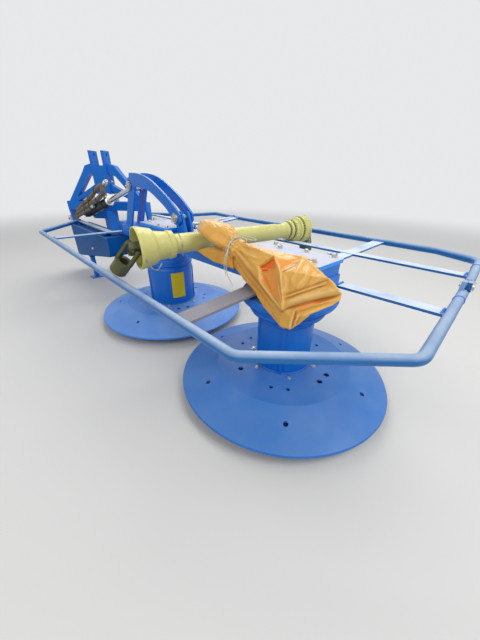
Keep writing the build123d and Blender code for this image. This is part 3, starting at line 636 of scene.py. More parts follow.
CREASES = [
    # height in mm, positive for a ridge with painted highlight and negative for a valley with painted
    # shade, half width in pixels of the photograph, then the line that it follows there
    (2.2, 1.6, (243.9, 245.5), (274.5, 256.6)),
    (3.2, 1.3, (274.5, 256.6), (258.7, 267.1), (260.3, 282.9), (271.0, 297.0), (282.4, 310.0)),
    (-4.4, 1.5, (235.5, 254.0), (247.4, 269.2), (259.4, 285.5), (269.0, 297.5), (279.2, 310.5)),
    (-2.4, 1.3, (233.4, 258.0), (245.2, 273.8), (257.4, 288.4), (267.0, 301.0), (275.0, 312.0)),
    (3.8, 1.0, (273.9, 268.2), (278.6, 288.0), (282.4, 308.7)),
    (5.0, 1.1, (275.4, 258.4), (280.5, 272.4), (282.2, 290.0), (283.4, 308.7)),
    (-2.6, 1.0, (276.0, 270.0), (280.6, 290.0), (282.9, 307.0)),
    (-3.0, 1.2, (261.2, 274.0), (268.5, 288.0), (279.0, 305.0)),
    (-4.2, 1.3, (301.0, 256.8), (294.7, 265.3), (288.0, 269.2), (281.3, 272.6)),
    (2.4, 1.5, (301.6, 256.5), (309.5, 262.4), (316.8, 268.7), (328.0, 278.0)),
    (3.2, 1.9, (303.0, 259.8), (299.5, 268.0), (292.9, 275.0), (290.3, 286.0)),
    (-2.6, 1.7, (297.0, 266.5), (291.6, 277.0), (288.6, 290.0)),
    (2.6, 1.7, (309.5, 267.0), (305.0, 277.0), (297.0, 287.5)),
    (-2.2, 1.6, (312.0, 271.5), (308.5, 281.0), (302.0, 289.0)),
    (1.8, 1.5, (321.5, 274.5), (315.5, 282.5), (309.0, 287.5)),
    (2.2, 1.5, (284.0, 274.0), (285.5, 284.0), (284.5, 294.0)),
    (-5.2, 1.3, (282.5, 295.9), (296.0, 291.2), (311.0, 286.0), (326.5, 280.6)),
    (3.0, 1.2, (284.0, 297.5), (300.0, 292.2), (314.0, 287.4), (326.5, 283.2)),
    (-4.6, 1.2, (283.4, 300.0), (297.4, 294.6), (312.0, 289.8), (327.0, 285.2)),
    (4.2, 3.2, (284.5, 304.0), (303.0, 297.8), (320.0, 293.2), (336.5, 289.4)),
    (-6.2, 1.4, (284.6, 309.8), (297.0, 305.8), (311.0, 301.8), (325.0, 299.0), (339.6, 295.4)),
    (3.6, 1.6, (295.8, 309.0), (304.0, 305.2), (316.0, 302.4)),
    (-3.2, 1.3, (296.8, 313.2), (308.0, 309.0), (322.0, 305.0), (334.0, 301.2)),
    (2.0, 1.6, (298.0, 318.0), (312.0, 311.6), (328.0, 305.6)),
    (5.2, 1.1, (293.9, 310.2), (291.8, 318.5), (289.2, 328.4)),
    (-5.2, 1.1, (296.0, 311.6), (294.4, 319.5), (291.4, 328.2)),
    (5.0, 1.1, (298.6, 314.6), (296.4, 319.6), (293.4, 324.0)),
    (-3.4, 1.1, (300.4, 316.4), (298.2, 321.0), (295.6, 325.0)),
    (-3.8, 1.2, (278.4, 310.4), (281.0, 312.4), (285.0, 311.4)),
    (-2.4, 1.2, (271.3, 311.0), (274.5, 318.0), (277.6, 323.9)),
    (2.2, 1.5, (238.0, 248.0), (248.0, 254.4), (258.7, 259.0)),
    (-2.2, 1.4, (237.4, 249.6), (245.5, 258.0), (252.0, 266.4)),
    (2.0, 1.3, (236.6, 251.0), (243.0, 260.5), (249.2, 270.0)),
    (-1.9, 1.3, (242.0, 246.6), (252.5, 249.6), (262.0, 252.6)),
    (-1.8, 1.3, (246.0, 243.8), (262.0, 246.8), (280.0, 251.0)),
    (1.6, 1.4, (248.0, 244.6), (266.0, 249.4), (286.0, 254.8), (300.0, 256.0)),
    (-2.6, 1.3, (225.5, 249.0), (214.0, 246.4), (205.5, 240.6)),
    (1.5, 1.5, (214.5, 222.5), (225.0, 231.5), (233.0, 238.0)),
    (-1.5, 1.5, (219.0, 231.0), (226.0, 238.0), (230.5, 242.5)),
    (1.3, 1.5, (226.0, 252.5), (214.0, 251.4), (200.0, 249.8)),
    (-2.0, 1.2, (229.5, 254.0), (232.0, 262.0), (238.0, 270.5)),
]
RECESSES = [
    # sunk in mm, how much painted deep orange shade, corners in the photograph
    (8.0, 1.0, ((273.9, 257.9), (260.2, 267.4), (261.2, 272.2), (275.2, 268.0))),
    (3.5, 0.42, ((261.2, 272.8), (275.0, 268.8), (281.6, 304.0), (260.8, 280.2))),
    (2.0, 0.34, ((276.0, 258.2), (300.6, 256.4), (294.4, 264.4), (281.0, 271.6))),
    (0.0, 0.28, ((247.0, 244.0), (301.8, 255.4), (275.0, 256.4), (244.5, 245.4))),
    (2.5, 0.55, ((296.6, 306.6), (310.2, 301.8), (340.0, 295.8), (339.0, 298.4), (311.0, 306.2),
                 (297.0, 311.4))),
    (0.0, 0.40, ((326.0, 283.0), (328.0, 279.4), (330.0, 282.6), (327.6, 286.4))),
]
COVER_MIDDLE = at(0.40, -0.13, 0.47)
TIE = at(0.238, -0.103, 0.530)  # middle of the twine's turns
TIE_DIR = Vector((0.90, 0.02, -0.40)).normalized()
TWINE_R = 0.0017
NECK_R = 0.03  # the cover's radius under the twine where no skin is found, and its greatest
NECK_MOST = 0.050
OUTSIDE = 0.12  # radius that is clear of the cover
GUARD_R = 0.0375  # the drive shaft's guard where the cover is tied to it
SKIN = 0.0006  # how far the cloth stays out of the work
WORK = (
    # what the cover lies on: x from and to, half width, z from and to
    (0.262, 0.560, 0.080, 0.440, LID_TOP), (-0.9, 0.560, 0.065, 0.400, BEAM_TOP),
)
VOXEL = 0.0020
LOBE_SIDES = 28
CREASE_FOOT = 2.2  # where a crease ends, and where its painted highlight and shade end, in its half widths
CREASE_TONE = 1.1
CREASE_END = 0.30  # share of a crease that is left at the ends of its line
PAINTED_LIGHT_PER_MM = 0.20
RECESS_EDGE = 1.1  # width in pixels over which a recess begins
GATHER_REACH = 0.045  # how far along the cloth the twine gathers it, and how high
GATHER_HEIGHT = 0.0030
WRINKLES = (
    # waves in a metre, offset into the noise, height
    (24.0, Vector((3.1, 7.7, 1.3)), 0.0013), (47.0, Vector((9.1, 2.7, 5.3)), 0.0006),
)


def clear_of_work(place):
    """Push a point of the cloth out of the lid, the beam and the drive shaft's guard."""
    for x0, x1, half, low, high in WORK:
        local = place - MIDWAY
        left = local.x - x0 + SKIN
        right = x1 + SKIN - local.x
        rear = local.y + half + SKIN
        front = half + SKIN - local.y
        top = high + SKIN - local.z
        if min(left, right, rear, front, top) > 0.0 and local.z > low - SKIN:
            ways = (
                # cost of the way out, its length, and its direction
                (rear, rear, -Y),
                (top * (3.0 if local.x > 0.50 else 1.0), top, Z),
                (right * 2.5, right, X),
            )
            far, way = min(ways, key=lambda way: way[0])[1:]
            place = place + far * way
    along = (place - SHAFT_A).dot(SHAFT_DIR)
    out = place - SHAFT_A - along * SHAFT_DIR
    if out.length < GUARD_R:
        place = SHAFT_A + along * SHAFT_DIR + out.normalized() * GUARD_R
    return place


def in_photo(place):
    """The photograph's pixel of a place."""
    away = place - CAMERA_AT
    scale = away.dot(CAMERA_UP.cross(CAMERA_RIGHT))
    return Vector((PHOTO_WIDTH / 2 + FOCAL_PIXELS * away.dot(CAMERA_RIGHT) / scale,
                   PHOTO_HEIGHT / 2 - FOCAL_PIXELS * away.dot(CAMERA_UP) / scale))


def from_line(pixel, start, end):
    """Distance from the line between two pixels, and the share of it at the nearest point."""
    span = end - start
    share = max(0.0, min(1.0, (pixel - start).dot(span) / span.length_squared))
    return (pixel - start - share * span).length, share


def folds_at(pixel, creases, recesses):
    """How far the cloth stands out there in metres, its painted fold highlight and shade, and how much
    painted deep orange recess shade.
    """
    lift = 0.0
    light = 0.0
    orange = 0.0
    for height, half, line in creases:
        done = 0.0
        nearest = math.inf
        for index, (start, end) in enumerate(zip(line, line[1:])):
            away, share = from_line(pixel, start, end)
            if away < nearest:
                nearest = away
                done = (index + share) / (len(line) - 1)
        if nearest < CREASE_FOOT * half:
            fade = min(1.0, 5.0 * done + CREASE_END, 5.0 * (1.0 - done) + CREASE_END)
            lift += 0.001 * height * fade * (1.0 - nearest / (CREASE_FOOT * half)) ** 1.5
            # painted highlight along a ridge, painted shade along a valley
            light += PAINTED_LIGHT_PER_MM * height * fade * max(0.0, 1.0 - nearest / (CREASE_TONE * half))
    for sunk, recess_shade, corners in recesses:
        inside = math.inf
        for start, end in zip(corners, corners[1:] + corners[:1]):
            side = (end - start).normalized()
            inside = min(inside, (pixel - start).x * side.y - (pixel - start).y * side.x)
        share = max(0.0, min(1.0, inside / RECESS_EDGE + 0.25))
        lift -= 0.001 * sunk * share
        # painted deep orange shade in a recess
        orange = max(orange, recess_shade * share)
    return lift, max(-1.0, min(1.0, light)), orange


def add_layers(bm):
    """A thin closed panel for each layer of the cloth."""
    toward_camera = (CAMERA_AT - COVER_MIDDLE).normalized()
    for depth, back, corners in LAYERS:
        points = [metres(FOLD[name]) + MIDWAY for name in corners]
        normal = Vector((0.0, 0.0, 0.0))
        for point, after in zip(points, points[1:] + points[:1]):
            normal += point.cross(after)
        normal.normalize()
        if normal.dot(toward_camera) < 0.0:
            normal.negate()
        back /= 1000
        front = [bm.verts.new(point - normal * back) for point in points]
        rear = [bm.verts.new(point - normal * (back + depth / 1000)) for point in points]
        bm.faces.new(front)
        bm.faces.new(list(reversed(rear)))
        for i in range(len(points)):
            j = (i + 1) % len(points)
            bm.faces.new((front[j], front[i], rear[i], rear[j]))


def add_lobe(bm):
    """The gathered cloth beyond the twine: a closed tube of flattened rings."""
    rings = []
    centres = [metres(row[0]) for row in LOBE]
    for index, row in enumerate(LOBE):
        along = (centres[min(index + 1, len(LOBE) - 1)] - centres[max(index - 1, 0)]).normalized()
        wide = Vector(row[1])
        wide = (wide - along * wide.dot(along)).normalized()
        thin = along.cross(wide)
        half_wide = row[2] / 1000
        half_thick = row[3] / 1000
        ring = []
        for t in circle(LOBE_SIDES):
            pucker = 1.0 + 0.05 * math.sin(5.0 * t + index)
            offset = half_wide * math.cos(t) * wide + half_thick * math.sin(t) * thin
            ring.append(bm.verts.new(centres[index] + MIDWAY + pucker * offset))
        rings.append(ring)
    for first, second in zip(rings, rings[1:]):
        for k in range(LOBE_SIDES):
            j = (k + 1) % LOBE_SIDES
            bm.faces.new((first[k], first[j], second[j], second[k]))
    bm.faces.new(rings[0])
    bm.faces.new(list(reversed(rings[-1])))


def join_panels(bm):
    """One skin round all the panels."""
    bmesh.ops.triangulate(bm, faces=[face for face in bm.faces if len(face.verts) > 4])
    bmesh.ops.recalc_face_normals(bm, faces=bm.faces)
    rough = bpy.data.meshes.new("cover_rough")
    bm.to_mesh(rough)
    bm.free()
    holder = bpy.data.objects.new("cover_rough", rough)
    bpy.context.scene.collection.objects.link(holder)
    remesh = holder.modifiers.new("join", "REMESH")
    remesh.mode = "VOXEL"
    remesh.voxel_size = VOXEL
    ease = holder.modifiers.new("ease", "SMOOTH")
    ease.factor = 0.5
    ease.iterations = 2
    graph = bpy.context.evaluated_depsgraph_get()
    joined = bpy.data.meshes.new_from_object(holder.evaluated_get(graph))
    bpy.data.objects.remove(holder)
    return joined


def crease_cloth(mesh):
    """Move each point of the skin by its folds, gathers and wrinkles, and store there its painted fold
    highlight and shade and its painted recess shade.
    """
    creases = [(height, half, [Vector(pixel) for pixel in line]) for height, half, *line in CREASES]
    recesses = []
    for sunk, recess_shade, corners in RECESSES:
        corners = [Vector(pixel) for pixel in corners]
        turn = sum(a.x * b.y - a.y * b.x for a, b in zip(corners, corners[1:] + corners[:1]))
        recesses.append((sunk, recess_shade, corners[::-1] if turn > 0.0 else corners))
    first, second = square_to(TIE_DIR)
    normals = [vertex.normal.copy() for vertex in mesh.vertices]
    lights = []
    recess_shades = []
    for vertex, normal in zip(mesh.vertices, normals):
        place = vertex.co.copy()
        away = place - TIE
        along = away.dot(TIE_DIR)
        angle = math.atan2(away.dot(second), away.dot(first))
        facing = normal.dot((CAMERA_AT - place).normalized())
        lift = light = orange = 0.0
        if facing > 0.05:
            lift, light, orange = folds_at(in_photo(place), creases, recesses)
            lift *= min(1.0, facing * 2.5)
        gather = math.exp(-abs(along) / GATHER_REACH)
        pucker = abs(math.sin(4.5 * angle + 2.0 * noise.noise(place * 30.0)))
        lift += GATHER_HEIGHT * gather * pucker - 0.001 * gather
        lift += 0.0022 * noise.noise(place * 16.0)
        calm = max(0.3, min(1.0, 1.0 + (along + 0.02) / 0.06))
        for waves, offset, height in WRINKLES:
            ridge = 1.0 - 2.0 * abs(noise.noise(place * waves + offset))
            lift += height * calm * max(0.0, ridge) ** 3
        vertex.co = clear_of_work(place + normal * lift)
        lights.append(light)
        recess_shades.append(orange)
    # painted recess shade and painted fold highlight and shade, stored on the points
    mesh.attributes.new("inside", "FLOAT", "POINT").data.foreach_set("value", recess_shades)
    mesh.attributes.new("painted_fold_light", "FLOAT", "POINT").data.foreach_set("value", lights)


def fold_cover():
    bm = bmesh.new()
    add_layers(bm)
    add_lobe(bm)
    joined = join_panels(bm)
    crease_cloth(joined)
    joined.name = "cover"
    joined.materials.clear()
    joined.materials.append(MATERIALS["canvas"])
    joined.shade_smooth()
    cover = bpy.data.objects.new("cover", joined)
    bpy.context.scene.collection.objects.link(cover)
    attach(cover, "cutter_unit")
    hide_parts("canvas_cover")
    return cover


def tie_twine(cover):
    """Four turns round the neck, a loop and a short end laid on top, and two ends that hang down."""
    skin = cover.data
    tree = BVHTree.FromPolygons([v.co for v in skin.vertices], [p.vertices for p in skin.polygons])
    twine = Batch("twine", "twine", "cutter_unit")
    first, second = square_to(TIE_DIR)
    for offset, lean in ((-0.006, 0.004), (-0.001, -0.003), (0.005, 0.002), (0.009, -0.005)):
        turn = []
        for t in circle(48):
            out = math.cos(t) * first + math.sin(t) * second
            centre = TIE + TIE_DIR * (offset + lean * math.sin(t))
            hit = tree.ray_cast(centre + out * OUTSIDE, -out, OUTSIDE)[0]
            reach = (hit - centre).length if hit else NECK_R
            turn.append(centre + out * (min(reach, NECK_MOST) + TWINE_R * 0.8))
        twine.tube(turn, TWINE_R, 8, closed=True)
    strands = [
        # places along the loop, both hanging ends and the short end, in millimetres
        ((240, -108, 556), (262, -90, 566), (290, -72, 562), (312, -68, 556),
         (300, -84, 556), (272, -96, 560), (246, -108, 558)),
        ((240, -120, 546), (250, -141, 523), (256, -150, 511), (253, -152, 492),
         (254, -152, 470), (257, -152, 448), (270, -153, 429), (289, -154, 411)),
        ((238, -120, 544), (247, -140, 520), (250, -151, 505), (245, -153, 480),
         (246, -153, 459), (254, -154, 438)),
        ((243, -106, 557), (268, -100, 563), (292, -98, 560), (306, -108, 556)),
    ]
    for places in strands:
        twine.tube(smooth_line([metres(place) + MIDWAY for place in places], 10), TWINE_R * 0.85, 7)
    knot = [at(0.239 + 0.007 * math.cos(t), -0.110 + 0.006 * math.sin(t),
               0.556 + 0.004 * math.sin(2.0 * t)) for t in (k * 0.35 for k in range(18))]
    twine.tube(knot, TWINE_R * 1.1, 8, closed=True)
    twine.done()


# fasteners, welds, hoses, chains and the drive shaft's small parts

# the headstock is swung round by this much: its own directions, and the foot of its swing pin
HEAD_TURN = math.radians(40.0)
ACROSS = Vector((math.cos(HEAD_TURN), math.sin(HEAD_TURN), 0.0))
AHEAD = Vector((-math.sin(HEAD_TURN), math.cos(HEAD_TURN), 0.0))
PIN_X = -1.5
PIN_Y = 0.1

# the lift cylinder: its two pins and its own directions
ANCHOR = at(-1.570, -0.060, 0.470)
EYE = at(-0.705, 0.0, 0.692)
RAM_DIR = (EYE - ANCHOR).normalized()
RAM_SIDE = RAM_DIR.cross(Z).normalized()
RAM_UP = RAM_SIDE.cross(RAM_DIR)

STRAP_ROUND_BARREL = 0.0310  # radius of a strap's middle line where it goes round the barrel
STRAP_GAP = 0.0012
STRAP_HALF = 0.0022

BAR_TOP = 0.0045  # half the thickness of the guard's flat bars


def on_head(across, ahead, height):
    """A place on the headstock, from the swing pin's foot."""
    return at(PIN_X, PIN_Y, height) + ACROSS * across + AHEAD * ahead


def on_ram(along, up, side):
    return ANCHOR + RAM_DIR * along + RAM_UP * up + RAM_SIDE * side


def on_shaft(along, radius, angle):
    """A place round the drive shaft: angle 0 is level towards the outer end, 90 degrees is up."""
    across = SHAFT_DIR.cross(Z).normalized()
    turn = math.radians(angle)
    return SHAFT_A + SHAFT_DIR * along + radius * (math.cos(turn) * across + math.sin(turn) * Z)


def guard_height(y):
    """Height of the guard's tubes and bars, which rise towards the front."""
    return 0.4233 + 0.0841 * y


def fit_bolts():
    cutter = Batch("cutter_bolts", "zinc", "cutter_unit")
    for side in (-1.0, 1.0):
        centre = side * DRUM_X - 0.007 * side
        for dx, y in ((-0.119, 0.062), (0.021, 0.052), (0.117, 0.062),
                      (0.108, -0.036), (-0.119, -0.062), (-0.04, -0.066)):
            cutter.hex_bolt(at(centre + dx * side, y, LID_TOP), Z, 0.013, 0.008, turn=dx * 9.0)
        plug = [(-0.0004, 0.011), (0.003, 0.011), (0.004, 0.009), (0.010, 0.009), (0.0115, 0.007)]
        cutter.turned(plug, at(centre - 0.075 * side, 0.030, LID_TOP), Z, 24, 0.004)
    for x, y in ((-1.00, -0.008), (-1.00, 0.033), (-0.90, -0.008), (-0.90, 0.033)):
        cutter.hex_bolt(at(x, y, BEAM_TOP), Z, 0.011, 0.007, turn=x)
    for x, z in ((-1.030, 0.300), (-1.030, 0.385), (-0.900, 0.300),
                 (-0.885, 0.385), (-0.885, 0.450), (-0.965, 0.285)):
        cutter.hex_bolt(at(x, 0.050, z), Y, 0.011, 0.007, turn=z)
    cutter.hex_bolt(at(-1.240, -0.165, 0.267), -Y, 0.012, 0.008, turn=0.3)
    for x, y in ((-0.585, 0.085), (0.409, 0.085)):
        for dx in (-0.014, 0.014):
            cutter.hex_bolt(at(x + dx, y, guard_height(y) + BAR_TOP), Z, 0.009, 0.006, turn=dx)
    cutter.done()
    head = Batch("head_bolts", "zinc", "headstock")
    for side in (-1.0, 1.0):
        for height in (0.640, 0.700, 0.760):
            head.hex_bolt(on_head(side * 0.060, 0.0, height), ACROSS * side, 0.011, 0.007, turn=height)
    head.done()


def fit_welds():
    seams = Batch("cutter_welds", "blue_paint", "cutter_unit")
    lugs = [
        # both ends in x, distance from the beam's middle, half thickness, radius of the bead
        (-0.848, -0.772, 0.034, 0.005, 0.004), (-0.263, -0.182, 0.018, 0.006, 0.0035),
    ]
    for x0, x1, middle, half, radius in lugs:
        for y in (-middle, middle):
            for edge in (y - half, y + half):
                seams.weld([at(x0, edge, BEAM_TOP), at(x1, edge, BEAM_TOP)], radius)
    for y in (-0.065, 0.065):
        seams.weld([at(-0.868, y, 0.420), at(-0.868, y, 0.470)], 0.0035)
    joints = [
        # bar end: x, y, half length of the bead along x and along y
        (0.340, -0.398, 0.026, 0.0), (0.559, 0.082, 0.0, 0.021), (0.844, 0.092, 0.0, 0.021),
        (-1.105, -0.404, 0.022, 0.0), (-0.660, 0.674, 0.020, 0.0), (0.405, 0.067, 0.022, 0.0),
        (-0.585, 0.067, 0.022, 0.0), (0.450, 0.636, 0.022, 0.0), (-0.585, 0.668, 0.020, 0.0),
        (0.831, 0.412, 0.0, 0.021),
    ]
    for x, y, dx, dy in joints:
        seams.weld([at(x - dx, y - dy, guard_height(y) + BAR_TOP),
                    at(x + dx, y + dy, guard_height(y + dy) + BAR_TOP)], 0.0032)
    seams.done()
    head = Batch("head_welds", "blue_paint", "headstock")
    for side in (-1.0, 1.0):
        for ahead in (-0.028, 0.028):
            head.weld([on_head(side * 0.270, ahead, 0.5605),
                       on_head(side * 0.314, ahead, 0.5605)], 0.0035)
        for ahead in (-0.020, 0.020):
            head.weld([on_head(side * 0.0605, ahead * 1.35, 0.765),
                       on_head(side * 0.0605, ahead * 1.35, 0.815)], 0.003)
        head.weld([on_head(side * 0.3190, -0.032, 0.497), on_head(side * 0.3190, 0.032, 0.497)], 0.0035)
    head.done()


def fit_linchpins():
    """A pin with its spring ring through each hitch pin, and the swing latch with its pull."""
    pins = Batch("linchpins", "zinc", "headstock")
    for side in (-1.0, 1.0):
        place = on_head(side * 0.366, 0.0, 0.420)
        pins.tube([place - Z * 0.020, place + Z * 0.019], 0.0032, 12)
        top = place + Z * 0.021
        pins.turned([(-0.006, 0.0075), (0.006, 0.0075)], top, Z, 16, 0.002)
        ring = [place + Z * (0.021 - 0.026 * math.sin(t / 2.0) ** 2 * 1.5) + AHEAD * 0.017 * math.sin(t)
                + ACROSS * side * 0.0125 for t in circle(40)]
        pins.tube(ring, 0.0017, 8, closed=True)
        pins.tube([top, top + ACROSS * side * 0.0125], 0.0018, 8)
    pins.done()
    latch = Batch("swing_latch", "zinc", "headstock")
    foot = on_head(0.075, 0.0, 0.560)
    latch.turned([(-0.0003, 0.016), (0.020, 0.016), (0.022, 0.014)], foot, Z, 28, 0.0072)
    latch.tube([foot, foot + Z * 0.052], 0.0065, 20)
    pull = ((0.047, 0.006), (0.058, 0.022), (0.082, 0.016),
            (0.084, -0.016), (0.058, -0.022), (0.047, -0.006))
    points = [foot + Z * up + AHEAD * ahead for up, ahead in pull]
    latch.tube(smooth_line(points, 8, closed=True), 0.0024, 8, closed=True)
    latch.done()


def fit_nipples():
    """Grease nipples on the arch's two pins, the swing head and the headstock."""
    shape = [(-0.001, 0.0012), (-0.001, 0.0042), (0.004, 0.0042), (0.005, 0.0026), (0.008, 0.0026),
             (0.0098, 0.0036), (0.0115, 0.0032), (0.0130, 0.0014)]
    places = [
        ("cutter_unit", at(-0.239, -0.0520, 0.568), -Y),
        ("cutter_unit", at(-0.705, -0.0520, 0.692), -Y),
        ("swing_head", at(-1.500, 0.1600, 0.3625), Z),
        ("headstock", on_head(0.0, -0.0375, 0.528), -AHEAD),
    ]
    for index, (body, place, out) in enumerate(places):
        nipple = Batch("nipple_%d" % index, "zinc", body)
        nipple.turned(shape, place, out, 14)
        nipple.done()


def fit_ram():
    """Gland, port and couplings of the lift cylinder, and its two hoses folded and tied along it."""
    steel = Batch("ram_fittings", "zinc", "cylinder_barrel")
    steel.turned([(0.0, 0.0285), (0.004, 0.0295), (0.012, 0.0295), (0.014, 0.027)],
                 on_ram(0.4742, 0.0, 0.0), RAM_DIR, 40, 0.0165)
    for along in (0.070, 0.435):
        steel.turned([(-0.002, 0.0125), (0.009, 0.0125), (0.009, 0.0105), (0.016, 0.0105)],
                     on_ram(along, 0.0295, 0.0), RAM_UP, 20, 0.004)
    outward = (on_ram(0.545, 0.098, 0.020) - on_ram(0.500, 0.086, 0.024)).normalized()
    steel.turned([(-0.004, 0.0120), (0.016, 0.0120), (0.016, 0.0145), (0.032, 0.0145), (0.036, 0.0105),
                  (0.050, 0.0105)], on_ram(0.520, 0.092, 0.022), outward, 24, 0.003)
    steel.turned([(-0.004, 0.0100), (0.012, 0.0100), (0.012, 0.0125), (0.028, 0.0125), (0.032, 0.0090),
                  (0.044, 0.0090)], on_ram(0.262, 0.004, 0.045), RAM_DIR, 24, 0.003)
    steel.done()
    runs = [
        # half thickness at both ends, then (along, up, towards the rear) in millimetres
        (0.0168, 0.0120, (
            (435, 42, 0), (437, 62, 4), (470, 78, 18), (510, 74, 32),
            (515, 52, 39), (470, 36, 42), (400, 31, 41), (310, 30, 40),
            (220, 30, 39), (140, 30, 38), (60, 29, 38), (-20, 26, 40),
            (-75, 22, 43), (-110, 14, 48), (-116, 1, 54), (-92, -6, 56),
            (-40, -4, 52), (40, 0, 46), (130, 2, 44), (220, 2, 44),
            (262, 4, 45))),
        (0.0160, 0.0150, (
            (70, 42, 0), (68, 58, 0), (35, 70, 2), (-30, 70, 6),
            (-74, 64, 12), (-92, 56, 24), (-66, 50, 32), (20, 54, 30),
            (110, 60, 32), (200, 64, 32), (290, 70, 34), (380, 82, 36),
            (460, 94, 30), (520, 92, 22))),
    ]
    hose = Batch("ram_hoses", "woven_sleeve", "cylinder_barrel")
    lines = [(first, last, smooth_line([on_ram(*metres(place)) for place in places], 10))
             for first, last, places in runs]
    for first, last, line in lines:
        radii = []
        for k, point in enumerate(line):
            thick = first + (last - first) * k / len(line)
            radii.append(thick * (1.0 + 0.10 * noise.noise(point * 34.0) + 0.05 * math.sin(1.9 * k)))
        hose.tube(line, radii, 18, squash=0.90)
    hose.done()
    ties = Batch("ram_ties", "rubber", "cylinder_barrel")
    for along in (0.130, 0.250, 0.400):
        rounds = [(0.0, 0.0, STRAP_ROUND_BARREL)]
        for first, last, line in lines:
            for k, point in enumerate(line):
                away = point - ANCHOR
                if abs(away.dot(RAM_DIR) - along) < 0.008:
                    thick = first + (last - first) * k / len(line)
                    rounds.append((away.dot(RAM_UP), away.dot(RAM_SIDE), thick + STRAP_GAP))
        ties.tube(strap_round(along, rounds), STRAP_HALF, 8, closed=True)
    ties.done()


def strap_round(along, rounds):
    """A strap drawn tight round circles of (up, side, radius) across the cylinder."""
    spots = sorted({(u + r * math.cos(t), v + r * math.sin(t))
                    for u, v, r in rounds for t in circle(32)})
    hull = []
    for run in (spots, spots[::-1]):
        edge = []
        for u, v in run:
            while len(edge) > 1:
                (u0, v0), (u1, v1) = edge[-2:]
                if (u1 - u0) * (v - v0) - (v1 - v0) * (u - u0) > 0.0:
                    break
                edge.pop()
            edge.append((u, v))
        hull.extend(edge[:-1])
    corners = [on_ram(along, u, v) for u, v in hull]
    return spread(corners + corners[:1], 0.004)[:-1]


def fit_shaft():
    """Bands of blocks and ribs on the far guard of the drive shaft, a wire ring, hanging chains."""
    far = Batch("shaft_bands_far", "dark_plastic", "pto_slide")
    bands = [
        # distance from the far end, radius under the band, width, number of blocks
        (0.116, 0.0358, 0.0095, 20), (0.0920, 0.0428, 0.0085, 22), (0.0440, 0.0552, 0.0095, 28),
    ]
    for from_end, radius, width, count in bands:
        along = SHAFT_END - from_end
        for k in range(count):
            angle = 360.0 * k / count
            out = (on_shaft(along, 1.0, angle) - on_shaft(along, 0.0, angle)).normalized()
            turn = Matrix((SHAFT_DIR, out.cross(SHAFT_DIR), out)).transposed()
            length = 2.0 * math.pi * radius / count * 0.80
            far.block(on_shaft(along, radius + 0.0006, angle), (width, length, 0.0024), turn, 0.0005)
    far.done()
    ribs = Batch("shaft_ribs_far", "yellow_plastic", "pto_slide")
    for k in range(10):
        angle = 36.0 * k + 10.0
        for from_end, radius, to_end, end_radius, half in ((0.084, 0.0502, 0.064, 0.0502, 0.0021),
                                                           (0.0360, 0.0624, 0.0080, 0.0650, 0.0020)):
            ribs.tube([on_shaft(SHAFT_END - from_end, radius, angle),
                       on_shaft(SHAFT_END - to_end, end_radius, angle)], half, 8)
    ribs.done()
    wire = Batch("shaft_wire", "zinc", "cutter_unit")
    for along in (0.1600, 0.1628):
        ring = [on_shaft(along + 0.0012 * math.sin(0.1745 * k), 0.0382, 10.0 * k) for k in range(36)]
        wire.tube(ring, 0.0010, 6, closed=True)
    tail = ((0.1614, 0.0384, -40.0), (0.164, 0.0480, -50.0),
            (0.168, 0.0520, -62.0), (0.170, 0.0460, -74.0))
    wire.tube(smooth_line([on_shaft(*place) for place in tail], 6), 0.0010, 6)
    wire.done()
    hang_chain("chain_far", "pto_slide", on_shaft(SHAFT_END - 0.010, 0.0655, 0.0),
               on_shaft(SHAFT_END - 0.006, 0.078, -38.0), 0.040)
    hang_chain("chain_near", "cutter_unit", on_shaft(0.012, 0.0770, -20.0),
               on_shaft(0.075, 0.068, -62.0), 0.030)


LINK_PITCH = 0.0078
LINK_HALF = (0.0052, 0.0029)  # half length and half width
LINK_WIRE = 0.0008


def hang_chain(name, body, start, end, sag):
    """Thin oval links along a slack line."""
    chain = Batch(name, "zinc", body)
    slack = [start.lerp(end, k / 40) - Z * sag * 4.0 * (k / 40) * (1.0 - k / 40) for k in range(41)]
    line = spread(slack, 0.0005)
    gone = 0.0
    due = 0.0
    index = 0
    for before, after in zip(line, line[1:]):
        gone += (after - before).length
        if gone < due:
            continue
        due += LINK_PITCH
        along = (after - before).normalized()
        side = along.cross(Z if abs(along.z) < 0.9 else X).normalized()
        wide = side if index % 2 else along.cross(side)
        link = [after + along * LINK_HALF[0] * math.cos(t) + wide * LINK_HALF[1] * math.sin(t)
                for t in circle(16)]
        chain.tube(link, LINK_WIRE, 6, closed=True)
        index += 1
    chain.done()


def fit_guard_trim():
    """End caps and sleeves of the guard's tubes."""
    caps = Batch("guard_caps", "blue_paint", "cutter_unit")
    ends = [
        # open end of a tube, point the tube comes from
        ((-1.644, -0.107), (-1.417, -0.424)), ((-0.600, 0.684), (0.690, 0.650)),
        ((-0.640, 0.690), (-0.884, 0.712)), ((-1.365, 0.393), (-1.030, 0.545)),
    ]
    for (x, y), (bx, by) in ends:
        tip = at(x, y, guard_height(y))
        out = (tip - at(bx, by, guard_height(by))).normalized()
        caps.turned([(-0.0006, 0.002), (-0.0006, 0.0142), (0.0016, 0.0142), (0.0030, 0.0125),
                     (0.0036, 0.002)], tip, out, 28)
    sleeves = [
        # along which run of tube: from, to, share of the run
        ((0.868, -0.150), (0.856, 0.250), 0.86), ((0.856, 0.290), (0.838, 0.596), 0.16),
        ((0.856, 0.290), (0.838, 0.596), 0.72),
    ]
    for (x0, y0), (x1, y1), share in sleeves:
        start = at(x0, y0, guard_height(y0))
        end = at(x1, y1, guard_height(y1))
        caps.turned([(-0.0030, 0.0139), (-0.0022, 0.0152), (0.0022, 0.0152), (0.0030, 0.0139)],
                    start.lerp(end, share), (end - start).normalized(), 32)
    caps.done()


def round_drum(x, radius, angle, height):
    """A place round the drum axis at x."""
    return at(x + radius * math.cos(angle), radius * math.sin(angle), height)


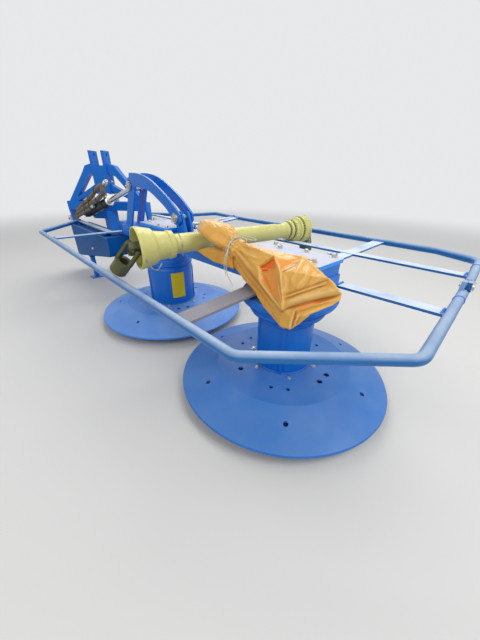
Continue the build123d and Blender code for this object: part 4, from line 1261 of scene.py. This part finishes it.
def fit_drums():
    """Lip beads, the shells' long seams and feet, disc bolts and the inner drum's blank plate."""
    drums = [
        # body, axis x, shell radius low down, growth to the top, seam's angle, beads (radius, height)
        ("drum_outer", DRUM_X, 0.104, 0.0, -118.0, ((0.1040, 0.290), (0.1382, 0.338), (0.1690, 0.377))),
        ("drum_inner", -DRUM_X, 0.1215, 0.002, -100.0,
         ((0.1228, 0.292), (0.1192, 0.308), (0.1270, 0.338))),
    ]
    for body, x, radius, growth, seam, beads in drums:
        trim = Batch(body + "_trim", "blue_drum", body)
        for bead_radius, height in beads:
            ring = [round_drum(x, bead_radius, t, height) for t in circle(96)]
            trim.tube(ring, 0.0022, 8, closed=True)
        turn = math.radians(seam)
        trim.weld([round_drum(x, radius, turn, 0.104),
                   round_drum(x, radius + growth, turn, 0.284)], 0.0026, 0.005)
        foot = [round_drum(x, radius + 0.001, t, 0.1015) for t in circle(96)]
        trim.tube(foot, [0.0040 + 0.0008 * math.sin(2.3 * k) for k in range(96)], 8, closed=True)
        trim.done()
        bolts = Batch(body + "_bolts", "zinc", body)
        for k in range(6):
            t = math.radians(60.0 * k + 20.0)
            bolts.hex_bolt(round_drum(x, radius + 0.022, t, 0.100), Z, 0.010, 0.006, turn=t)
        bolts.done()
    plate = Batch("blank_plate", "yellow_plate", "drum_inner")
    low, high = 0.140, 0.282
    start, span, steps = -29.5, 34.0, 16
    verts = []
    for level, out in ((low, 0.0), (low, 0.0009), (high, 0.0009), (high, 0.0)):
        reach = 0.1200 + 0.003 * (level - 0.100) / 0.198 + 0.0003 + out
        verts += [round_drum(-DRUM_X, reach, math.radians(start + span * k / steps), level)
                  for k in range(steps + 1)]
    faces = [(i * 17 + k, i * 17 + k + 1, (i + 1) * 17 + k + 1, (i + 1) * 17 + k)
             for i in range(3) for k in range(steps)]
    faces += [(0, 17, 34, 51), (16, 67, 50, 33)]
    plate.add(verts, faces)
    plate.done()


def fit_housing():
    """The rolled rims of the belt housing."""
    rims = Batch("housing_rims", "blue_paint", "cutter_unit")
    for y in (-0.166, -0.026):
        rims.tube([at(-1.700, y, 0.3915), at(-0.888, y, 0.3915)], 0.0030, 10)
    rims.done()


aim_camera()
dress_frame()
tie_twine(fold_cover())
fit_bolts()
fit_welds()
fit_linchpins()
fit_nipples()
fit_ram()
fit_shaft()
fit_guard_trim()
fit_drums()
fit_housing()
lay_floor()
light_room()
